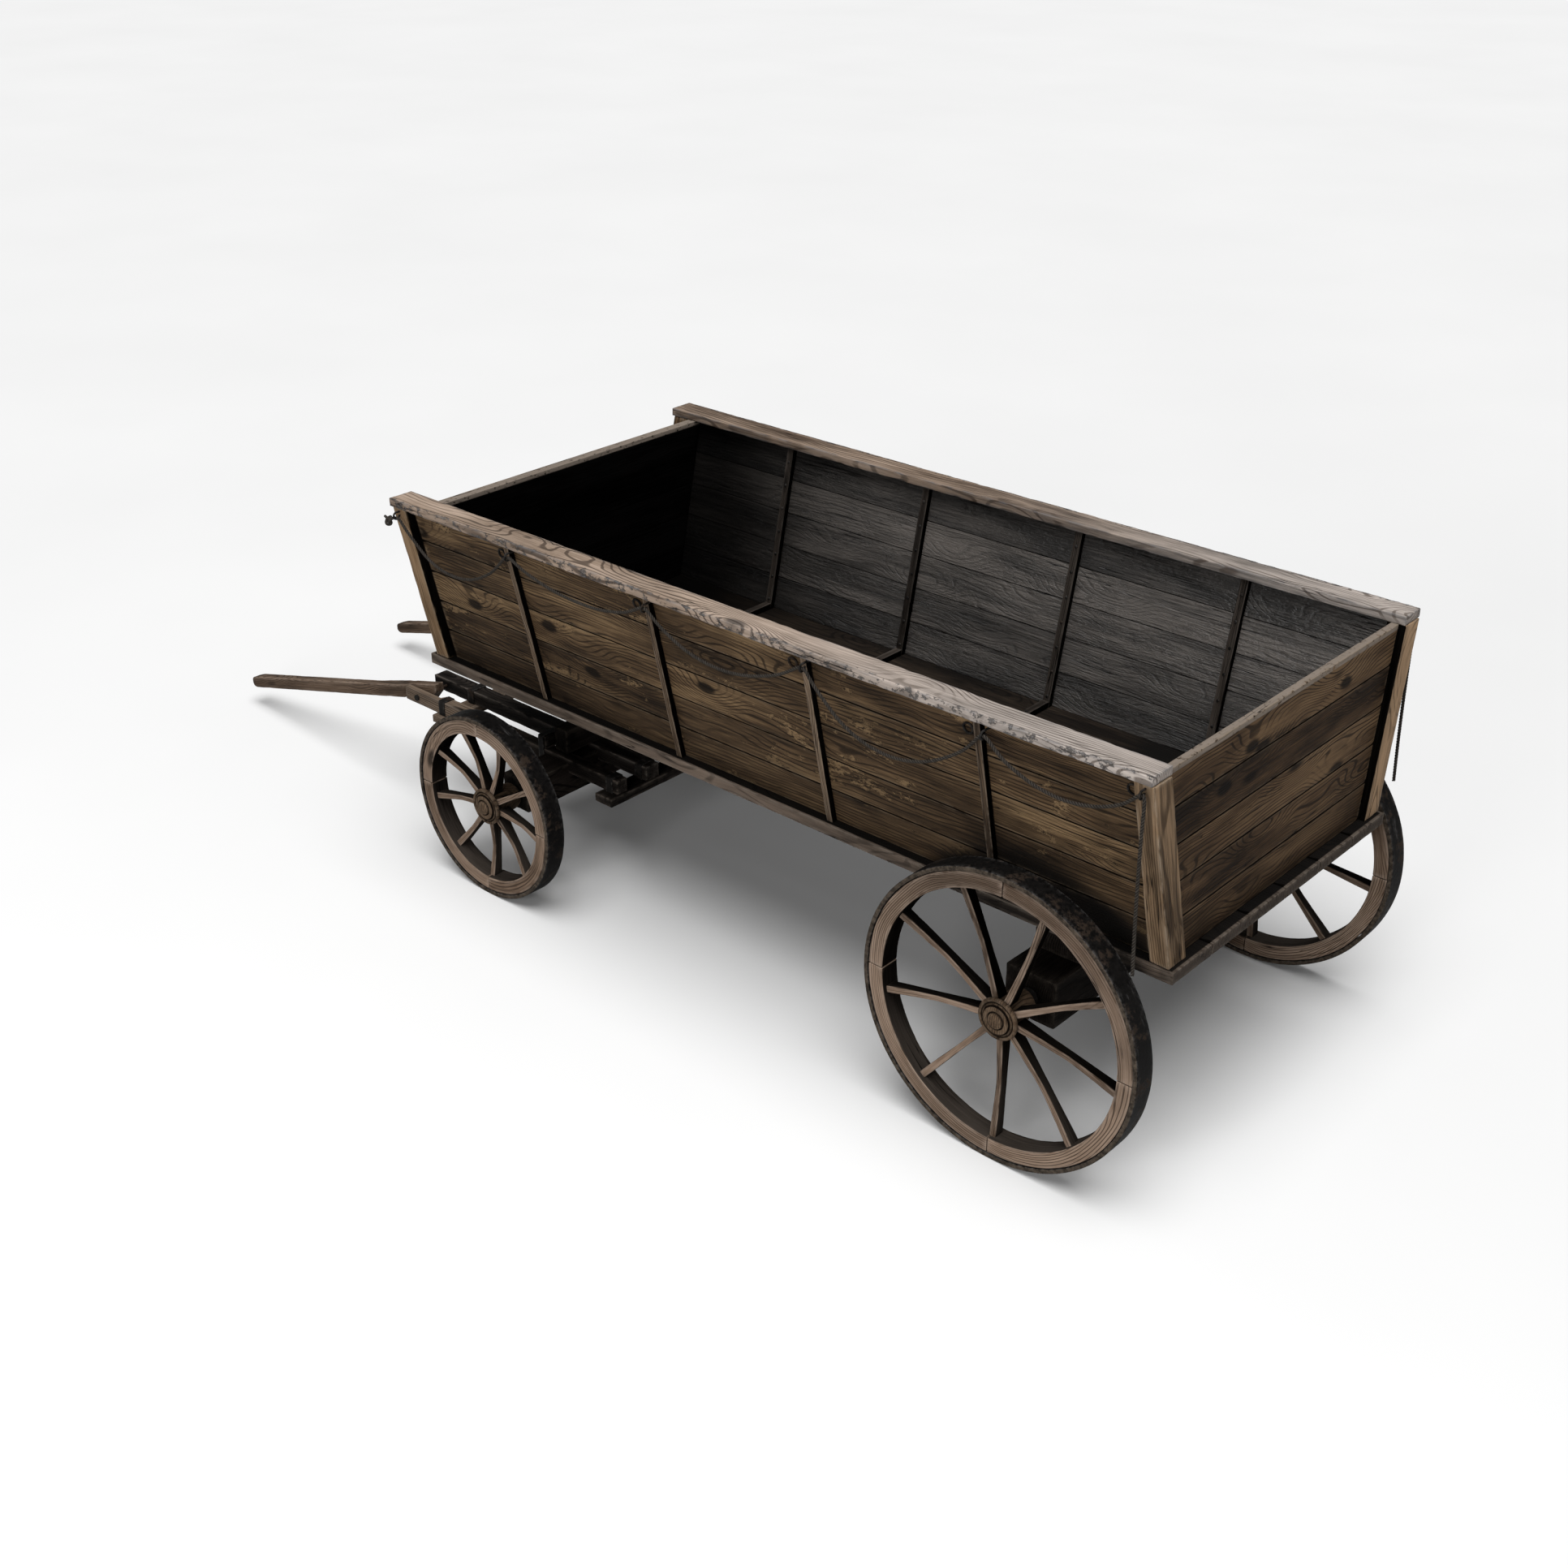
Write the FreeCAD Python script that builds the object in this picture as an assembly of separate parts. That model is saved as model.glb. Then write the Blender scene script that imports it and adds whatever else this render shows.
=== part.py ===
import FreeCAD, Part
import math
import os

# Four-wheeled wooden farm wagon with a steerable front carriage and two draft shafts.
# Units are millimetres.  +X points forward (the shafts' end), +Y to the wagon's left,
# +Z up.  Stations along X are measured from the middle of the side rails, and every
# solid is moved by -MID_X on export so that the origin lies under the middle of the
# bounding box, on the ground.

V = FreeCAD.Vector

# ---------------------------------------------------------------- driving dimensions
BED_REAR = -1853.0          # floor boards, rear end
BED_FRONT = 1822.0          # floor boards, front end
BED_HALF = 708.0            # half width of the floor
BED_TOP = 895.0
BED_T = 46.0
BED_BOTTOM = BED_TOP - BED_T
BOARD_GAP = 2.0

RAIL_BOTTOM = 1600.0
RAIL_T = 35.0
RAIL_IN = 748.0             # inner edge of the cap rail
RAIL_OUT = 862.0
RAIL_END = 1800.0           # rails run from -RAIL_END to +RAIL_END

WALL_RISE = RAIL_BOTTOM - BED_TOP
FLARE = 155.0 / WALL_RISE   # the side walls lean out by 155 mm
WALL_IN = 634.0             # half width inside the walls at the floor
PLANK_T = 28.0
WALL_OUT = WALL_IN + PLANK_T
WALL_ROWS = 5
PLANK_GAP = 1.6

TAIL_LEAN = 28.0 / WALL_RISE    # the tail end leans forward by 28 mm
POST_IN = 597.0             # inner side of a corner post at the floor
POST_OUT = 700.0
REAR_POST = (-1832.0, -1757.0)
FRONT_POST = (1712.0, 1790.0)
TAIL_PLANK = (-1805.0, -1775.0)
HEAD_PLANK = (1655.0, 1700.0)

STAKE_X = (1118.0, 356.0, -404.0, -1136.0)
STAKE_W = 28.0
STAKE_T = 26.0

RIB_X = (1085.0, 334.0, -425.0, -1160.0)    # wooden ribs inside the box
RIB_W = 34.0
RIB_T = 26.0
RIB_JOINT = 0.2
NAIL_R = 6.5
NAIL_H = 3.5
WALL_NAILS = 7              # on each wall rib
WALL_NAIL_Z = 940.0         # the lowest one
WALL_NAIL_PITCH = 100.0
FLOOR_NAILS = 5
FLOOR_NAIL_PITCH = 240.0

HOOK_ROD = 4.0
HOOK_R = 14.0               # ring radius to the middle of the rod
HOOK_Y = 868.0
HOOK_Z = 1572.0
HOOK_GAP = 0.1
SIN_45 = math.sin(math.radians(45))
POST_HOOK_X = (1751.0, -1772.0)
WALL_HOOK_X = (1076.0, 333.0, -427.0, -1185.0)
EYE_X = (1177.0, 430.0, -333.0, -1084.0, -1706.0)
EYE_R = 19.0                # to the middle of the rod
EYE_Z = 1544.0

ROPE_R = 6.0
ROPE_OVER_HOOK = HOOK_ROD + ROPE_R + 0.4
# The left rope's route in the plane of the hooks, from its front end at the first hook
# to its hanging end at the rear: (x, z, whether it bends over a hook there).
ROPE_ROUTE = [
    (1805.0, 1537.0, False),
    (1750.3, 1570.8, True),
    (1660.0, 1497.0, False), (1560.0, 1424.0, False), (1440.0, 1398.0, False),
    (1310.0, 1410.0, False), (1190.0, 1470.0, False),
    (1078.4, 1569.8, True),
    (960.0, 1532.0, False), (840.0, 1505.0, False), (710.0, 1494.0, False),
    (580.0, 1496.0, False), (450.0, 1520.0, False),
    (332.3, 1569.6, True),
    (225.0, 1508.0, False), (115.0, 1462.0, False), (-15.0, 1444.0, False),
    (-150.0, 1454.0, False), (-290.0, 1498.0, False),
    (-428.6, 1570.6, True),
    (-515.0, 1490.0, False), (-600.0, 1420.0, False), (-710.0, 1376.0, False),
    (-840.0, 1366.0, False), (-970.0, 1400.0, False), (-1085.0, 1470.0, False),
    (-1183.7, 1571.4, True),
    (-1285.0, 1502.0, False), (-1390.0, 1464.0, False), (-1500.0, 1452.0, False),
    (-1610.0, 1470.0, False), (-1705.0, 1512.0, False),
    (-1770.4, 1570.2, True), (-1782.4, 1564.6, True),
    (-1783.0, 1470.0, False), (-1785.0, 1340.0, False), (-1788.5, 1205.0, False),
    (-1793.5, 1070.0, False), (-1800.0, 945.0, False),
]

REAR_R = 562.0
FRONT_R = 407.0
REAR_AXLE_X = -1316.0
FRONT_AXLE_X = 1310.0
TYRE_OUT_Y = 906.5
TYRE_W = 93.0
TYRE_T = 18.0
FELLOE_H = 62.0
FELLOE_IN_Y = 817.5
FELLOE_OUT_Y = 902.5
FELLOES = 4
SPOKES = 9
SPOKE_PHASE = 29.0          # degrees from +X towards +Z
SPOKE_W = 28.0
SPOKE_EDGES = ((868.0, 814.0), (866.0, 824.0), (884.0, 838.0))  # outer, inner y: nave, middle, rim
FELLOE_JOINT = 1.6          # saw cut between two felloes
CURVED_GAP = 0.3

AXLE_R = 22.0
AXLE_FIT = 0.05
NAVE_R = 66.0
NAVE_INNER_Y = 735.0
FLANGE_Y = 872.0
NAVE_FACE_Y = 888.0
BORE_R = AXLE_R + AXLE_FIT
# Turned outlines of the nave and of the cap on its face: (radius, y).
NAVE_OUTLINE = [
    (BORE_R, NAVE_INNER_Y), (48.0, NAVE_INNER_Y), (54.0, 741.0), (60.0, 775.0),
    (NAVE_R, 800.0), (NAVE_R, FLANGE_Y), (76.0, FLANGE_Y), (79.0, 875.0), (79.0, 884.0),
    (75.0, NAVE_FACE_Y), (40.0, NAVE_FACE_Y), (40.0, 868.0), (BORE_R, 868.0),
]
CAP_OUTLINE = [
    (0.0, NAVE_FACE_Y), (52.0, NAVE_FACE_Y), (52.0, 893.0), (49.0, 896.0), (35.0, 896.0),
    (33.0, 892.0), (30.0, 892.0), (29.0, 900.0), (22.0, 903.5), (0.0, 905.0),
]
AXLE_END_Y = 884.0
COLLAR_R = 34.0
COLLAR_END_Y = 733.0
ARM_START_Y = 60.0          # the front axle arms start here, clear of the kingpin
LINCH_Y = 877.0
LINCH_R = 5.0
LINCH_HALF = 30.0

REAR_BLOCK = (-1421.0, -1211.0, 700.0, 470.0, 655.0)    # x0, x1, half length, z0, z1
REAR_BOLSTER = (-1411.0, -1221.0, 550.0, 655.0, BED_BOTTOM)
FRONT_BLOCK = (1235.0, 1385.0, 720.0, 335.0, 480.0)
FRONT_BOLSTER = (1270.0, 1350.0, 455.0, 500.0, 612.0)
MIDDLE_BAR = (1374.0, 1420.0, 484.0, 500.0, 558.0)
BODY_BOLSTER = (1250.0, 1370.0, 400.0, 633.0, BED_BOTTOM)
PLATE_R = 150.0
PLATE_T = 10.0
PLATE_GAP = 1.0
KINGPIN_R = 16.0
KINGPIN_FIT = 0.08
KINGPIN_HEAD_R = 30.0
KINGPIN_HEAD_H = 14.0
KINGPIN_END_Z = 300.0
NUT_R = 28.0                # to the corners of the six-sided nut
NUT_H = 20.0
NUT_TOP_Z = 334.0
BEARER_X = (-650.0, 0.0)
BEARER_W = 90.0
BEARER_H = 60.0
BEARER_HALF = 480.0

BAR_TOP = 500.0
BAR_H = 65.0
BAR_BOTTOM = BAR_TOP - BAR_H
BAR_REAR = 935.0
BAR_FRONT = 2336.0
SIDE_BAR = (426.0, 484.0)   # y range of the outer frame bars
INNER_BAR = (240.0, 315.0)
CHEEK_X = 2105.0            # in front of this the side bar is thinned for the shaft
CHEEK_IN = 454.0
FRONT_PLANK = (2030.0, 2120.0, 509.0)
REAR_PLANK = (925.0, 1025.0, 530.0)
PLANK_H = 38.0
STRAP_W = 40.0
STRAP_T = 4.0
STRAP_X = (2075.0, 983.0)
MIDDLE_STRAP = (1386.0, 1420.0, 440.0)    # x0, x1, lower end

PIN_X = 2250.0
PIN_Z = BAR_BOTTOM + BAR_H / 2.0
PIN_R = 8.0
PIN_FIT = 0.08
PIN_INNER_Y = 232.0
PIN_HEAD_R = 14.0
PIN_HEAD_T = 8.0
TIP_X = 3633.0
SHAFT_OUT = 484.0
SHAFT_IN = 429.0
TONGUE = (400.0, 451.0)     # y range of the shaft's rear end
SHOULDER_X = 2345.0         # the full width starts here, clear of the bar's end at any lift
# Outlines of the left shaft seen from the side (x, z) and from above (x, y).
SHAFT_SIDE = [
    (3572.0, 160.0), (3615.0, 142.0), (TIP_X, 126.0), (3622.0, 100.0), (3585.0, 97.0),
    (2345.0, 435.0), (2215.0, 437.0), (2155.0, 508.0), (2155.0, 550.0),
]
SHAFT_PLAN = [
    (3600.0, SHAFT_OUT), (TIP_X, 471.0), (TIP_X, 442.0), (3600.0, SHAFT_IN),
    (2600.0, SHAFT_IN), (2400.0, TONGUE[0]), (2150.0, TONGUE[0]), (2150.0, TONGUE[1]),
    (SHOULDER_X, TONGUE[1]), (SHOULDER_X, SHAFT_OUT),
]

MID_X = (REAR_AXLE_X - REAR_R + TIP_X) / 2.0    # the rear wheels reach furthest back


# ---------------------------------------------------------------- small helpers
def box(x0, x1, y0, y1, z0, z1):
    return Part.makeBox(x1 - x0, y1 - y0, z1 - z0, V(x0, y0, z0))


def rod(radius, start, end):
    axis = end.sub(start)
    return Part.makeCylinder(radius, axis.Length, start, axis)


def prism(points, direction):
    wire = Part.makePolygon(points + [points[0]])
    return Part.Face(wire).extrude(direction)


def frustum(z0, low, z1, high):
    """Solid between two axis-aligned rectangles (x0, x1, y0, y1) at heights z0 and z1."""
    def corners(r, z):
        return [V(r[0], r[2], z), V(r[1], r[2], z), V(r[1], r[3], z), V(r[0], r[3], z)]
    a = corners(low, z0)
    b = corners(high, z1)
    loops = [a[::-1], b]
    for i in range(4):
        j = (i + 1) % 4
        loops.append([a[i], a[j], b[j], b[i]])
    faces = [Part.Face(Part.makePolygon(p + [p[0]])) for p in loops]
    return Part.Solid(Part.Shell(faces))


def revolve_y(profile):
    """Turned solid about the Y axis from (radius, y) points."""
    points = [V(r, y, 0) for r, y in profile]
    wire = Part.makePolygon(points + [points[0]])
    return Part.Face(wire).revolve(V(0, 0, 0), V(0, 1, 0), 360)


def mirrored(shape):
    return shape.mirror(V(0, 0, 0), V(0, 1, 0))


def moved(shape, x, y, z):
    copy = shape.copy()
    copy.translate(V(x, y, z))
    return copy


def flare(z):
    """How far the side walls have leaned out at height z."""
    return FLARE * (z - BED_TOP)


def lean(z):
    """How far the tail end has leaned forward at height z."""
    return TAIL_LEAN * (z - BED_TOP)


def plank_rows():
    """Heights of the planks' lower and upper edges, from the floor up."""
    pitch = WALL_RISE / WALL_ROWS
    rows = []
    for i in range(WALL_ROWS):
        low = BED_TOP + i * pitch
        high = low + pitch
        if i < WALL_ROWS - 1:
            high -= PLANK_GAP
        rows.append((low, high))
    return rows


# ---------------------------------------------------------------- box of the wagon
def floor_boards():
    count = 6
    pitch = 2 * BED_HALF / count
    boards = []
    for i in range(count):
        y0 = -BED_HALF + i * pitch
        y1 = y0 + pitch
        if i < count - 1:
            y1 -= BOARD_GAP
        boards.append(box(BED_REAR, BED_FRONT, y0, y1, BED_BOTTOM, BED_TOP))
    return boards


def floor_bearers():
    z0 = BED_BOTTOM - BEARER_H
    half = BEARER_W / 2
    return [box(x - half, x + half, -BEARER_HALF, BEARER_HALF, z0, BED_BOTTOM) for x in BEARER_X]


def side_planks():
    def outline(z):
        rear = REAR_POST[1] + lean(z)
        return (rear, FRONT_POST[0], WALL_IN + flare(z), WALL_OUT + flare(z))
    return [frustum(a, outline(a), b, outline(b)) for a, b in plank_rows()]


def end_planks(x_range, leans, half_width):
    def outline(z):
        shift = lean(z) if leans else 0.0
        half = half_width + flare(z)
        return (x_range[0] + shift, x_range[1] + shift, -half, half)
    return [frustum(a, outline(a), b, outline(b)) for a, b in plank_rows()]


def post(x_range, leans):
    def outline(z):
        shift = lean(z) if leans else 0.0
        return (x_range[0] + shift, x_range[1] + shift, POST_IN + flare(z), POST_OUT + flare(z))
    return frustum(BED_TOP, outline(BED_TOP), RAIL_BOTTOM, outline(RAIL_BOTTOM))


def stakes():
    solids = []
    for x in STAKE_X:
        def outline(z):
            inner = WALL_OUT + flare(z)
            return (x - STAKE_W / 2, x + STAKE_W / 2, inner, inner + STAKE_T)
        solids.append(frustum(BED_TOP, outline(BED_TOP), RAIL_BOTTOM, outline(RAIL_BOTTOM)))
    return solids


def cap_rail():
    return box(-RAIL_END, RAIL_END, RAIL_IN, RAIL_OUT, RAIL_BOTTOM, RAIL_BOTTOM + RAIL_T)


def wall_rib(x):
    """Rib on the inner side of the left wall, from the floor to the rail."""
    def outline(z):
        wall = WALL_IN + flare(z)
        return (x - RIB_W / 2, x + RIB_W / 2, wall - RIB_T, wall)
    return frustum(BED_TOP, outline(BED_TOP), RAIL_BOTTOM, outline(RAIL_BOTTOM))


def floor_rib(x):
    """Rib across the floor between the feet of two wall ribs."""
    def outline(z):
        half = WALL_IN + flare(z) - RIB_T - RIB_JOINT
        return (x - RIB_W / 2, x + RIB_W / 2, -half, half)
    top = BED_TOP + RIB_T
    return frustum(BED_TOP, outline(BED_TOP), top, outline(top))


def inner_ribs():
    return both_sides([wall_rib(x) for x in RIB_X]) + [floor_rib(x) for x in RIB_X]


def rib_nails():
    """Round nail heads on the ribs, on both walls and across the floor."""
    inward = V(0, -1, FLARE)
    nails = []
    for x in RIB_X:
        for i in range(WALL_NAILS):
            z = WALL_NAIL_Z + i * WALL_NAIL_PITCH
            y = WALL_IN + flare(z) - RIB_T
            nail = Part.makeCylinder(NAIL_R, NAIL_H, V(x, y, z), inward)
            nails.append(nail)
            nails.append(mirrored(nail))
        for i in range(FLOOR_NAILS):
            y = (i - (FLOOR_NAILS - 1) / 2.0) * FLOOR_NAIL_PITCH
            nails.append(Part.makeCylinder(NAIL_R, NAIL_H, V(x, y, BED_TOP + RIB_T)))
    return nails


def rope_hook(x, face_at_floor):
    """Iron rod from the wall's or post's face, bent round below into an open ring."""
    top = HOOK_Z + HOOK_R
    foot = V(x, face_at_floor + flare(top + HOOK_ROD) + HOOK_GAP, top)
    bend = V(x, HOOK_Y, top)
    bottom = V(x, HOOK_Y, HOOK_Z - HOOK_R)
    tip = V(x, HOOK_Y - HOOK_R, HOOK_Z)
    outer = V(x, HOOK_Y + HOOK_R, HOOK_Z)
    low_inner = V(x, HOOK_Y - HOOK_R * SIN_45, HOOK_Z - HOOK_R * SIN_45)
    edges = [Part.LineSegment(foot, bend).toShape()]
    edges.append(Part.Arc(bend, outer, bottom).toShape())
    edges.append(Part.Arc(bottom, low_inner, tip).toShape())
    section = Part.Wire(Part.Circle(foot, V(0, 1, 0), HOOK_ROD).toShape())
    return Part.Wire(edges).makePipeShell([section], True, True)


def rope_eye(x):
    """Iron ring lying against the wall beside a stake."""
    outward = V(0, 1, -FLARE).normalize()
    centre = V(x, WALL_OUT + flare(EYE_Z), EYE_Z).add(V(outward).multiply(HOOK_ROD + CURVED_GAP))
    return Part.makeTorus(EYE_R, HOOK_ROD, centre, outward)


def rope_irons():
    hooks = [rope_hook(x, POST_OUT) for x in POST_HOOK_X]
    hooks += [rope_hook(x, WALL_OUT) for x in WALL_HOOK_X]
    return hooks + [rope_eye(x) for x in EYE_X]


# ---------------------------------------------------------------- ropes
def rope():
    """Tube of straight runs joined by tangent arcs, in the plane of the hooks."""
    points = [V(x, HOOK_Y, z) for x, z, over_hook in ROPE_ROUTE]
    edges = []
    start = points[0]
    radii = []
    for i in range(1, len(points) - 1):
        before = points[i - 1].sub(points[i])
        after = points[i + 1].sub(points[i])
        half_turn = (math.pi - before.getAngle(after)) / 2.0
        radius = 0.45 * min(before.Length, after.Length) / math.tan(half_turn)
        if ROPE_ROUTE[i][2]:
            radius = min(ROPE_OVER_HOOK, radius)
        reach = radius * math.tan(half_turn)
        before.normalize()
        after.normalize()
        entry = points[i].add(V(before).multiply(reach))
        leave = points[i].add(V(after).multiply(reach))
        inward = before.add(after).normalize()
        centre = points[i].add(V(inward).multiply(radius / math.cos(half_turn)))
        middle = centre.sub(V(inward).multiply(radius))
        edges.append(Part.LineSegment(start, entry).toShape())
        edges.append(Part.Arc(entry, middle, leave).toShape())
        start = leave
        radii.append(round(radius, 1))
    edges.append(Part.LineSegment(start, points[-1]).toShape())
    path = Part.Wire(edges)
    tangent = points[1].sub(points[0])
    section = Part.Wire(Part.Circle(points[0], tangent, ROPE_R).toShape())
    tube = path.makePipeShell([section], True, True)
    print("rope radii", radii)
    print("rope length", round(path.Length, 1), "tube volume / section * length",
          round(tube.Volume / (math.pi * ROPE_R ** 2 * path.Length), 4))
    return tube


# ---------------------------------------------------------------- wheels
def ring_y(outer, inner, y0, y1):
    return revolve_y([(inner, y0), (outer, y0), (outer, y1), (inner, y1)])


def tyre(radius):
    edge = 4.0
    y0 = TYRE_OUT_Y - TYRE_W
    inner = radius - TYRE_T
    profile = [(inner, y0), (radius - edge, y0), (radius, y0 + edge)]
    profile += [(radius, TYRE_OUT_Y - edge), (radius - edge, TYRE_OUT_Y), (inner, TYRE_OUT_Y)]
    return revolve_y(profile)


def felloes(radius):
    outer = radius - TYRE_T - CURVED_GAP
    inner = outer - FELLOE_H
    rim = ring_y(outer, inner, FELLOE_IN_Y, FELLOE_OUT_Y)
    half = FELLOE_JOINT / 2
    for k in range(FELLOES):
        saw = box(inner - 1, outer + 1, FELLOE_IN_Y - 1, FELLOE_OUT_Y + 1, -half, half)
        saw.rotate(V(0, 0, 0), V(0, 1, 0), 360.0 / FELLOES * k)
        rim = rim.cut(saw)
    return rim.Solids


def spokes(radius):
    """Bowed spokes, deeper than wide, cut to the round of the nave and the rim."""
    rim = radius - TYRE_T - CURVED_GAP - FELLOE_H
    stations = (NAVE_R - 8, 0.5 * (NAVE_R + rim), rim + 4)
    outer = [V(r, edge[0], -SPOKE_W / 2) for r, edge in zip(stations, SPOKE_EDGES)]
    inner = [V(r, edge[1], -SPOKE_W / 2) for r, edge in zip(stations, SPOKE_EDGES)]
    blank = prism(outer + inner[::-1], V(0, 0, SPOKE_W))
    outside = ring_y(2 * radius, rim - CURVED_GAP, NAVE_INNER_Y, TYRE_OUT_Y)
    core = rod(NAVE_R + CURVED_GAP, V(0, NAVE_INNER_Y, 0), V(0, TYRE_OUT_Y, 0))
    one = blank.cut(outside).cut(core)
    solids = []
    for k in range(SPOKES):
        turned = one.copy()
        turned.rotate(V(0, 0, 0), V(0, 1, 0), -(SPOKE_PHASE + k * 360.0 / SPOKES))
        solids.append(turned)
    return solids


def wheel_parts(radius):
    return {
        "tyre": [tyre(radius)],
        "felloes": felloes(radius),
        "spokes": spokes(radius),
        "nave": [revolve_y(NAVE_OUTLINE)],
        "nave_cap": [revolve_y(CAP_OUTLINE)],
    }


# ---------------------------------------------------------------- axles and blocks
def axle_arm(start_y, collar_y):
    """Iron axle from start_y out to its end, with a thrust collar outside the block."""
    arm = rod(AXLE_R, V(0, start_y, 0), V(0, AXLE_END_Y, 0))
    collar = rod(COLLAR_R, V(0, collar_y, 0), V(0, COLLAR_END_Y, 0))
    hole = rod(LINCH_R + CURVED_GAP, V(0, LINCH_Y, -AXLE_R - 1), V(0, LINCH_Y, AXLE_R + 1))
    return arm.fuse(collar).cut(hole).removeSplitter()


def linchpin():
    return rod(LINCH_R, V(0, LINCH_Y, -LINCH_HALF), V(0, LINCH_Y, LINCH_HALF))


def block(size):
    x0, x1, half, z0, z1 = size
    return box(x0, x1, -half, half, z0, z1)


def axle_groove(x, z, z_bottom, half):
    """Space of the axle let into the underside of a block."""
    r = AXLE_R + CURVED_GAP
    bore = rod(r, V(x, -half, z), V(x, half, z))
    slot = box(x - r, x + r, -half, half, z_bottom, z)
    return bore.fuse(slot)


def pin_hole(radius, z0, z1):
    return rod(radius, V(FRONT_AXLE_X, 0, z0), V(FRONT_AXLE_X, 0, z1))


def rear_axle_block():
    groove = axle_groove(REAR_AXLE_X, REAR_R, REAR_BLOCK[3], REAR_BLOCK[2])
    return block(REAR_BLOCK).cut(groove)


def front_axle_block():
    body = block(FRONT_BLOCK)
    arms = axle_groove(FRONT_AXLE_X, FRONT_R, FRONT_BLOCK[3], FRONT_BLOCK[2])
    x0, x1 = FRONT_BLOCK[:2]
    arms = arms.cut(box(x0, x1, -ARM_START_Y, ARM_START_Y, FRONT_BLOCK[3], BAR_TOP))
    body = body.cut(arms)
    for y0, y1 in (SIDE_BAR, INNER_BAR):
        notch = box(x0, x1, y0, y1, BAR_BOTTOM, BAR_TOP)
        body = body.cut(notch).cut(mirrored(notch))
    return body.cut(pin_hole(KINGPIN_R + KINGPIN_FIT, FRONT_BLOCK[3], BAR_TOP))


def front_bolster():
    hole = pin_hole(KINGPIN_R + KINGPIN_FIT, FRONT_BOLSTER[3], FRONT_BOLSTER[4])
    return block(FRONT_BOLSTER).cut(hole)


def body_bolster():
    low = BODY_BOLSTER[3]
    hole = pin_hole(KINGPIN_R + CURVED_GAP, low, BED_BOTTOM)
    sink = pin_hole(KINGPIN_HEAD_R + CURVED_GAP, BED_BOTTOM - KINGPIN_HEAD_H, BED_BOTTOM)
    return block(BODY_BOLSTER).cut(hole).cut(sink)


def turntable_plate(z0, hole_r):
    plate = Part.makeCylinder(PLATE_R, PLATE_T, V(FRONT_AXLE_X, 0, z0))
    return plate.cut(pin_hole(hole_r, z0, z0 + PLATE_T))


def kingpin():
    shank = pin_hole(KINGPIN_R, KINGPIN_END_Z, BED_BOTTOM)
    head = pin_hole(KINGPIN_HEAD_R, BED_BOTTOM - KINGPIN_HEAD_H, BED_BOTTOM)
    return shank.fuse(head).removeSplitter()


def kingpin_nut():
    bottom = NUT_TOP_Z - NUT_H
    corners = []
    for k in range(6):
        a = math.radians(60 * k)
        corners.append(V(FRONT_AXLE_X + NUT_R * math.cos(a), NUT_R * math.sin(a), bottom))
    return prism(corners, V(0, 0, NUT_H)).cut(pin_hole(KINGPIN_R + CURVED_GAP, bottom, NUT_TOP_Z))


# ---------------------------------------------------------------- front frame
def side_bar():
    y0, y1 = SIDE_BAR
    bar = box(BAR_REAR, BAR_FRONT, y0, y1, BAR_BOTTOM, BAR_TOP)
    bar = bar.cut(box(CHEEK_X, BAR_FRONT, y0, CHEEK_IN, BAR_BOTTOM, BAR_TOP))
    return bar.cut(rod(PIN_R + CURVED_GAP, V(PIN_X, y0, PIN_Z), V(PIN_X, y1, PIN_Z)))


def inner_bar():
    y0, y1 = INNER_BAR
    bar = box(BAR_REAR, BAR_FRONT, y0, y1, BAR_BOTTOM, BAR_TOP)
    return bar.cut(rod(PIN_R + CURVED_GAP, V(PIN_X, y0, PIN_Z), V(PIN_X, y1, PIN_Z)))


def strap_over(x, y_range):
    """Flat iron staple over a bar, its legs passing down through the plank below."""
    y0, y1 = y_range
    z0 = BAR_BOTTOM - PLANK_H
    outer = box(x - STRAP_W / 2, x + STRAP_W / 2, y0 - STRAP_T, y1 + STRAP_T, z0, BAR_TOP + STRAP_T)
    return outer.cut(box(x - STRAP_W, x + STRAP_W, y0, y1, z0 - 1, BAR_TOP))


def middle_strap():
    """Flat iron strap over the middle bar, its ends bent down outside the two side bars."""
    x0, x1, low = MIDDLE_STRAP
    half = MIDDLE_BAR[2]
    top = MIDDLE_BAR[4]
    outer = box(x0, x1, -half - STRAP_T, half + STRAP_T, low, top + STRAP_T)
    return outer.cut(box(x0 - 1, x1 + 1, -half, half, low - 1, top))


def strap_slots(x, y_range):
    y0, y1 = y_range
    half = STRAP_W / 2 + 0.5
    z0 = BAR_BOTTOM - PLANK_H
    legs = [box(x - half, x + half, y0 - STRAP_T - 0.5, y0 + 0.2, z0, BAR_BOTTOM),
            box(x - half, x + half, y1 - 0.2, y1 + STRAP_T + 0.5, z0, BAR_BOTTOM)]
    return legs


def cross_plank(size, strap_x):
    x0, x1, half = size
    plank = box(x0, x1, -half, half, BAR_BOTTOM - PLANK_H, BAR_BOTTOM)
    for y_range in (SIDE_BAR, INNER_BAR):
        for slot in strap_slots(strap_x, y_range):
            plank = plank.cut(slot).cut(mirrored(slot))
    return plank


def frame_straps():
    solids = []
    for x in STRAP_X:
        for y_range in (SIDE_BAR, INNER_BAR):
            strap = strap_over(x, y_range)
            solids.append(strap)
            solids.append(mirrored(strap))
    return solids + [middle_strap()]


def shaft_pin():
    face_y = SIDE_BAR[1]
    shank = rod(PIN_R, V(PIN_X, PIN_INNER_Y, PIN_Z), V(PIN_X, face_y, PIN_Z))
    head = rod(PIN_HEAD_R, V(PIN_X, face_y, PIN_Z), V(PIN_X, face_y + PIN_HEAD_T, PIN_Z))
    return shank.fuse(head).removeSplitter()


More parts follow.
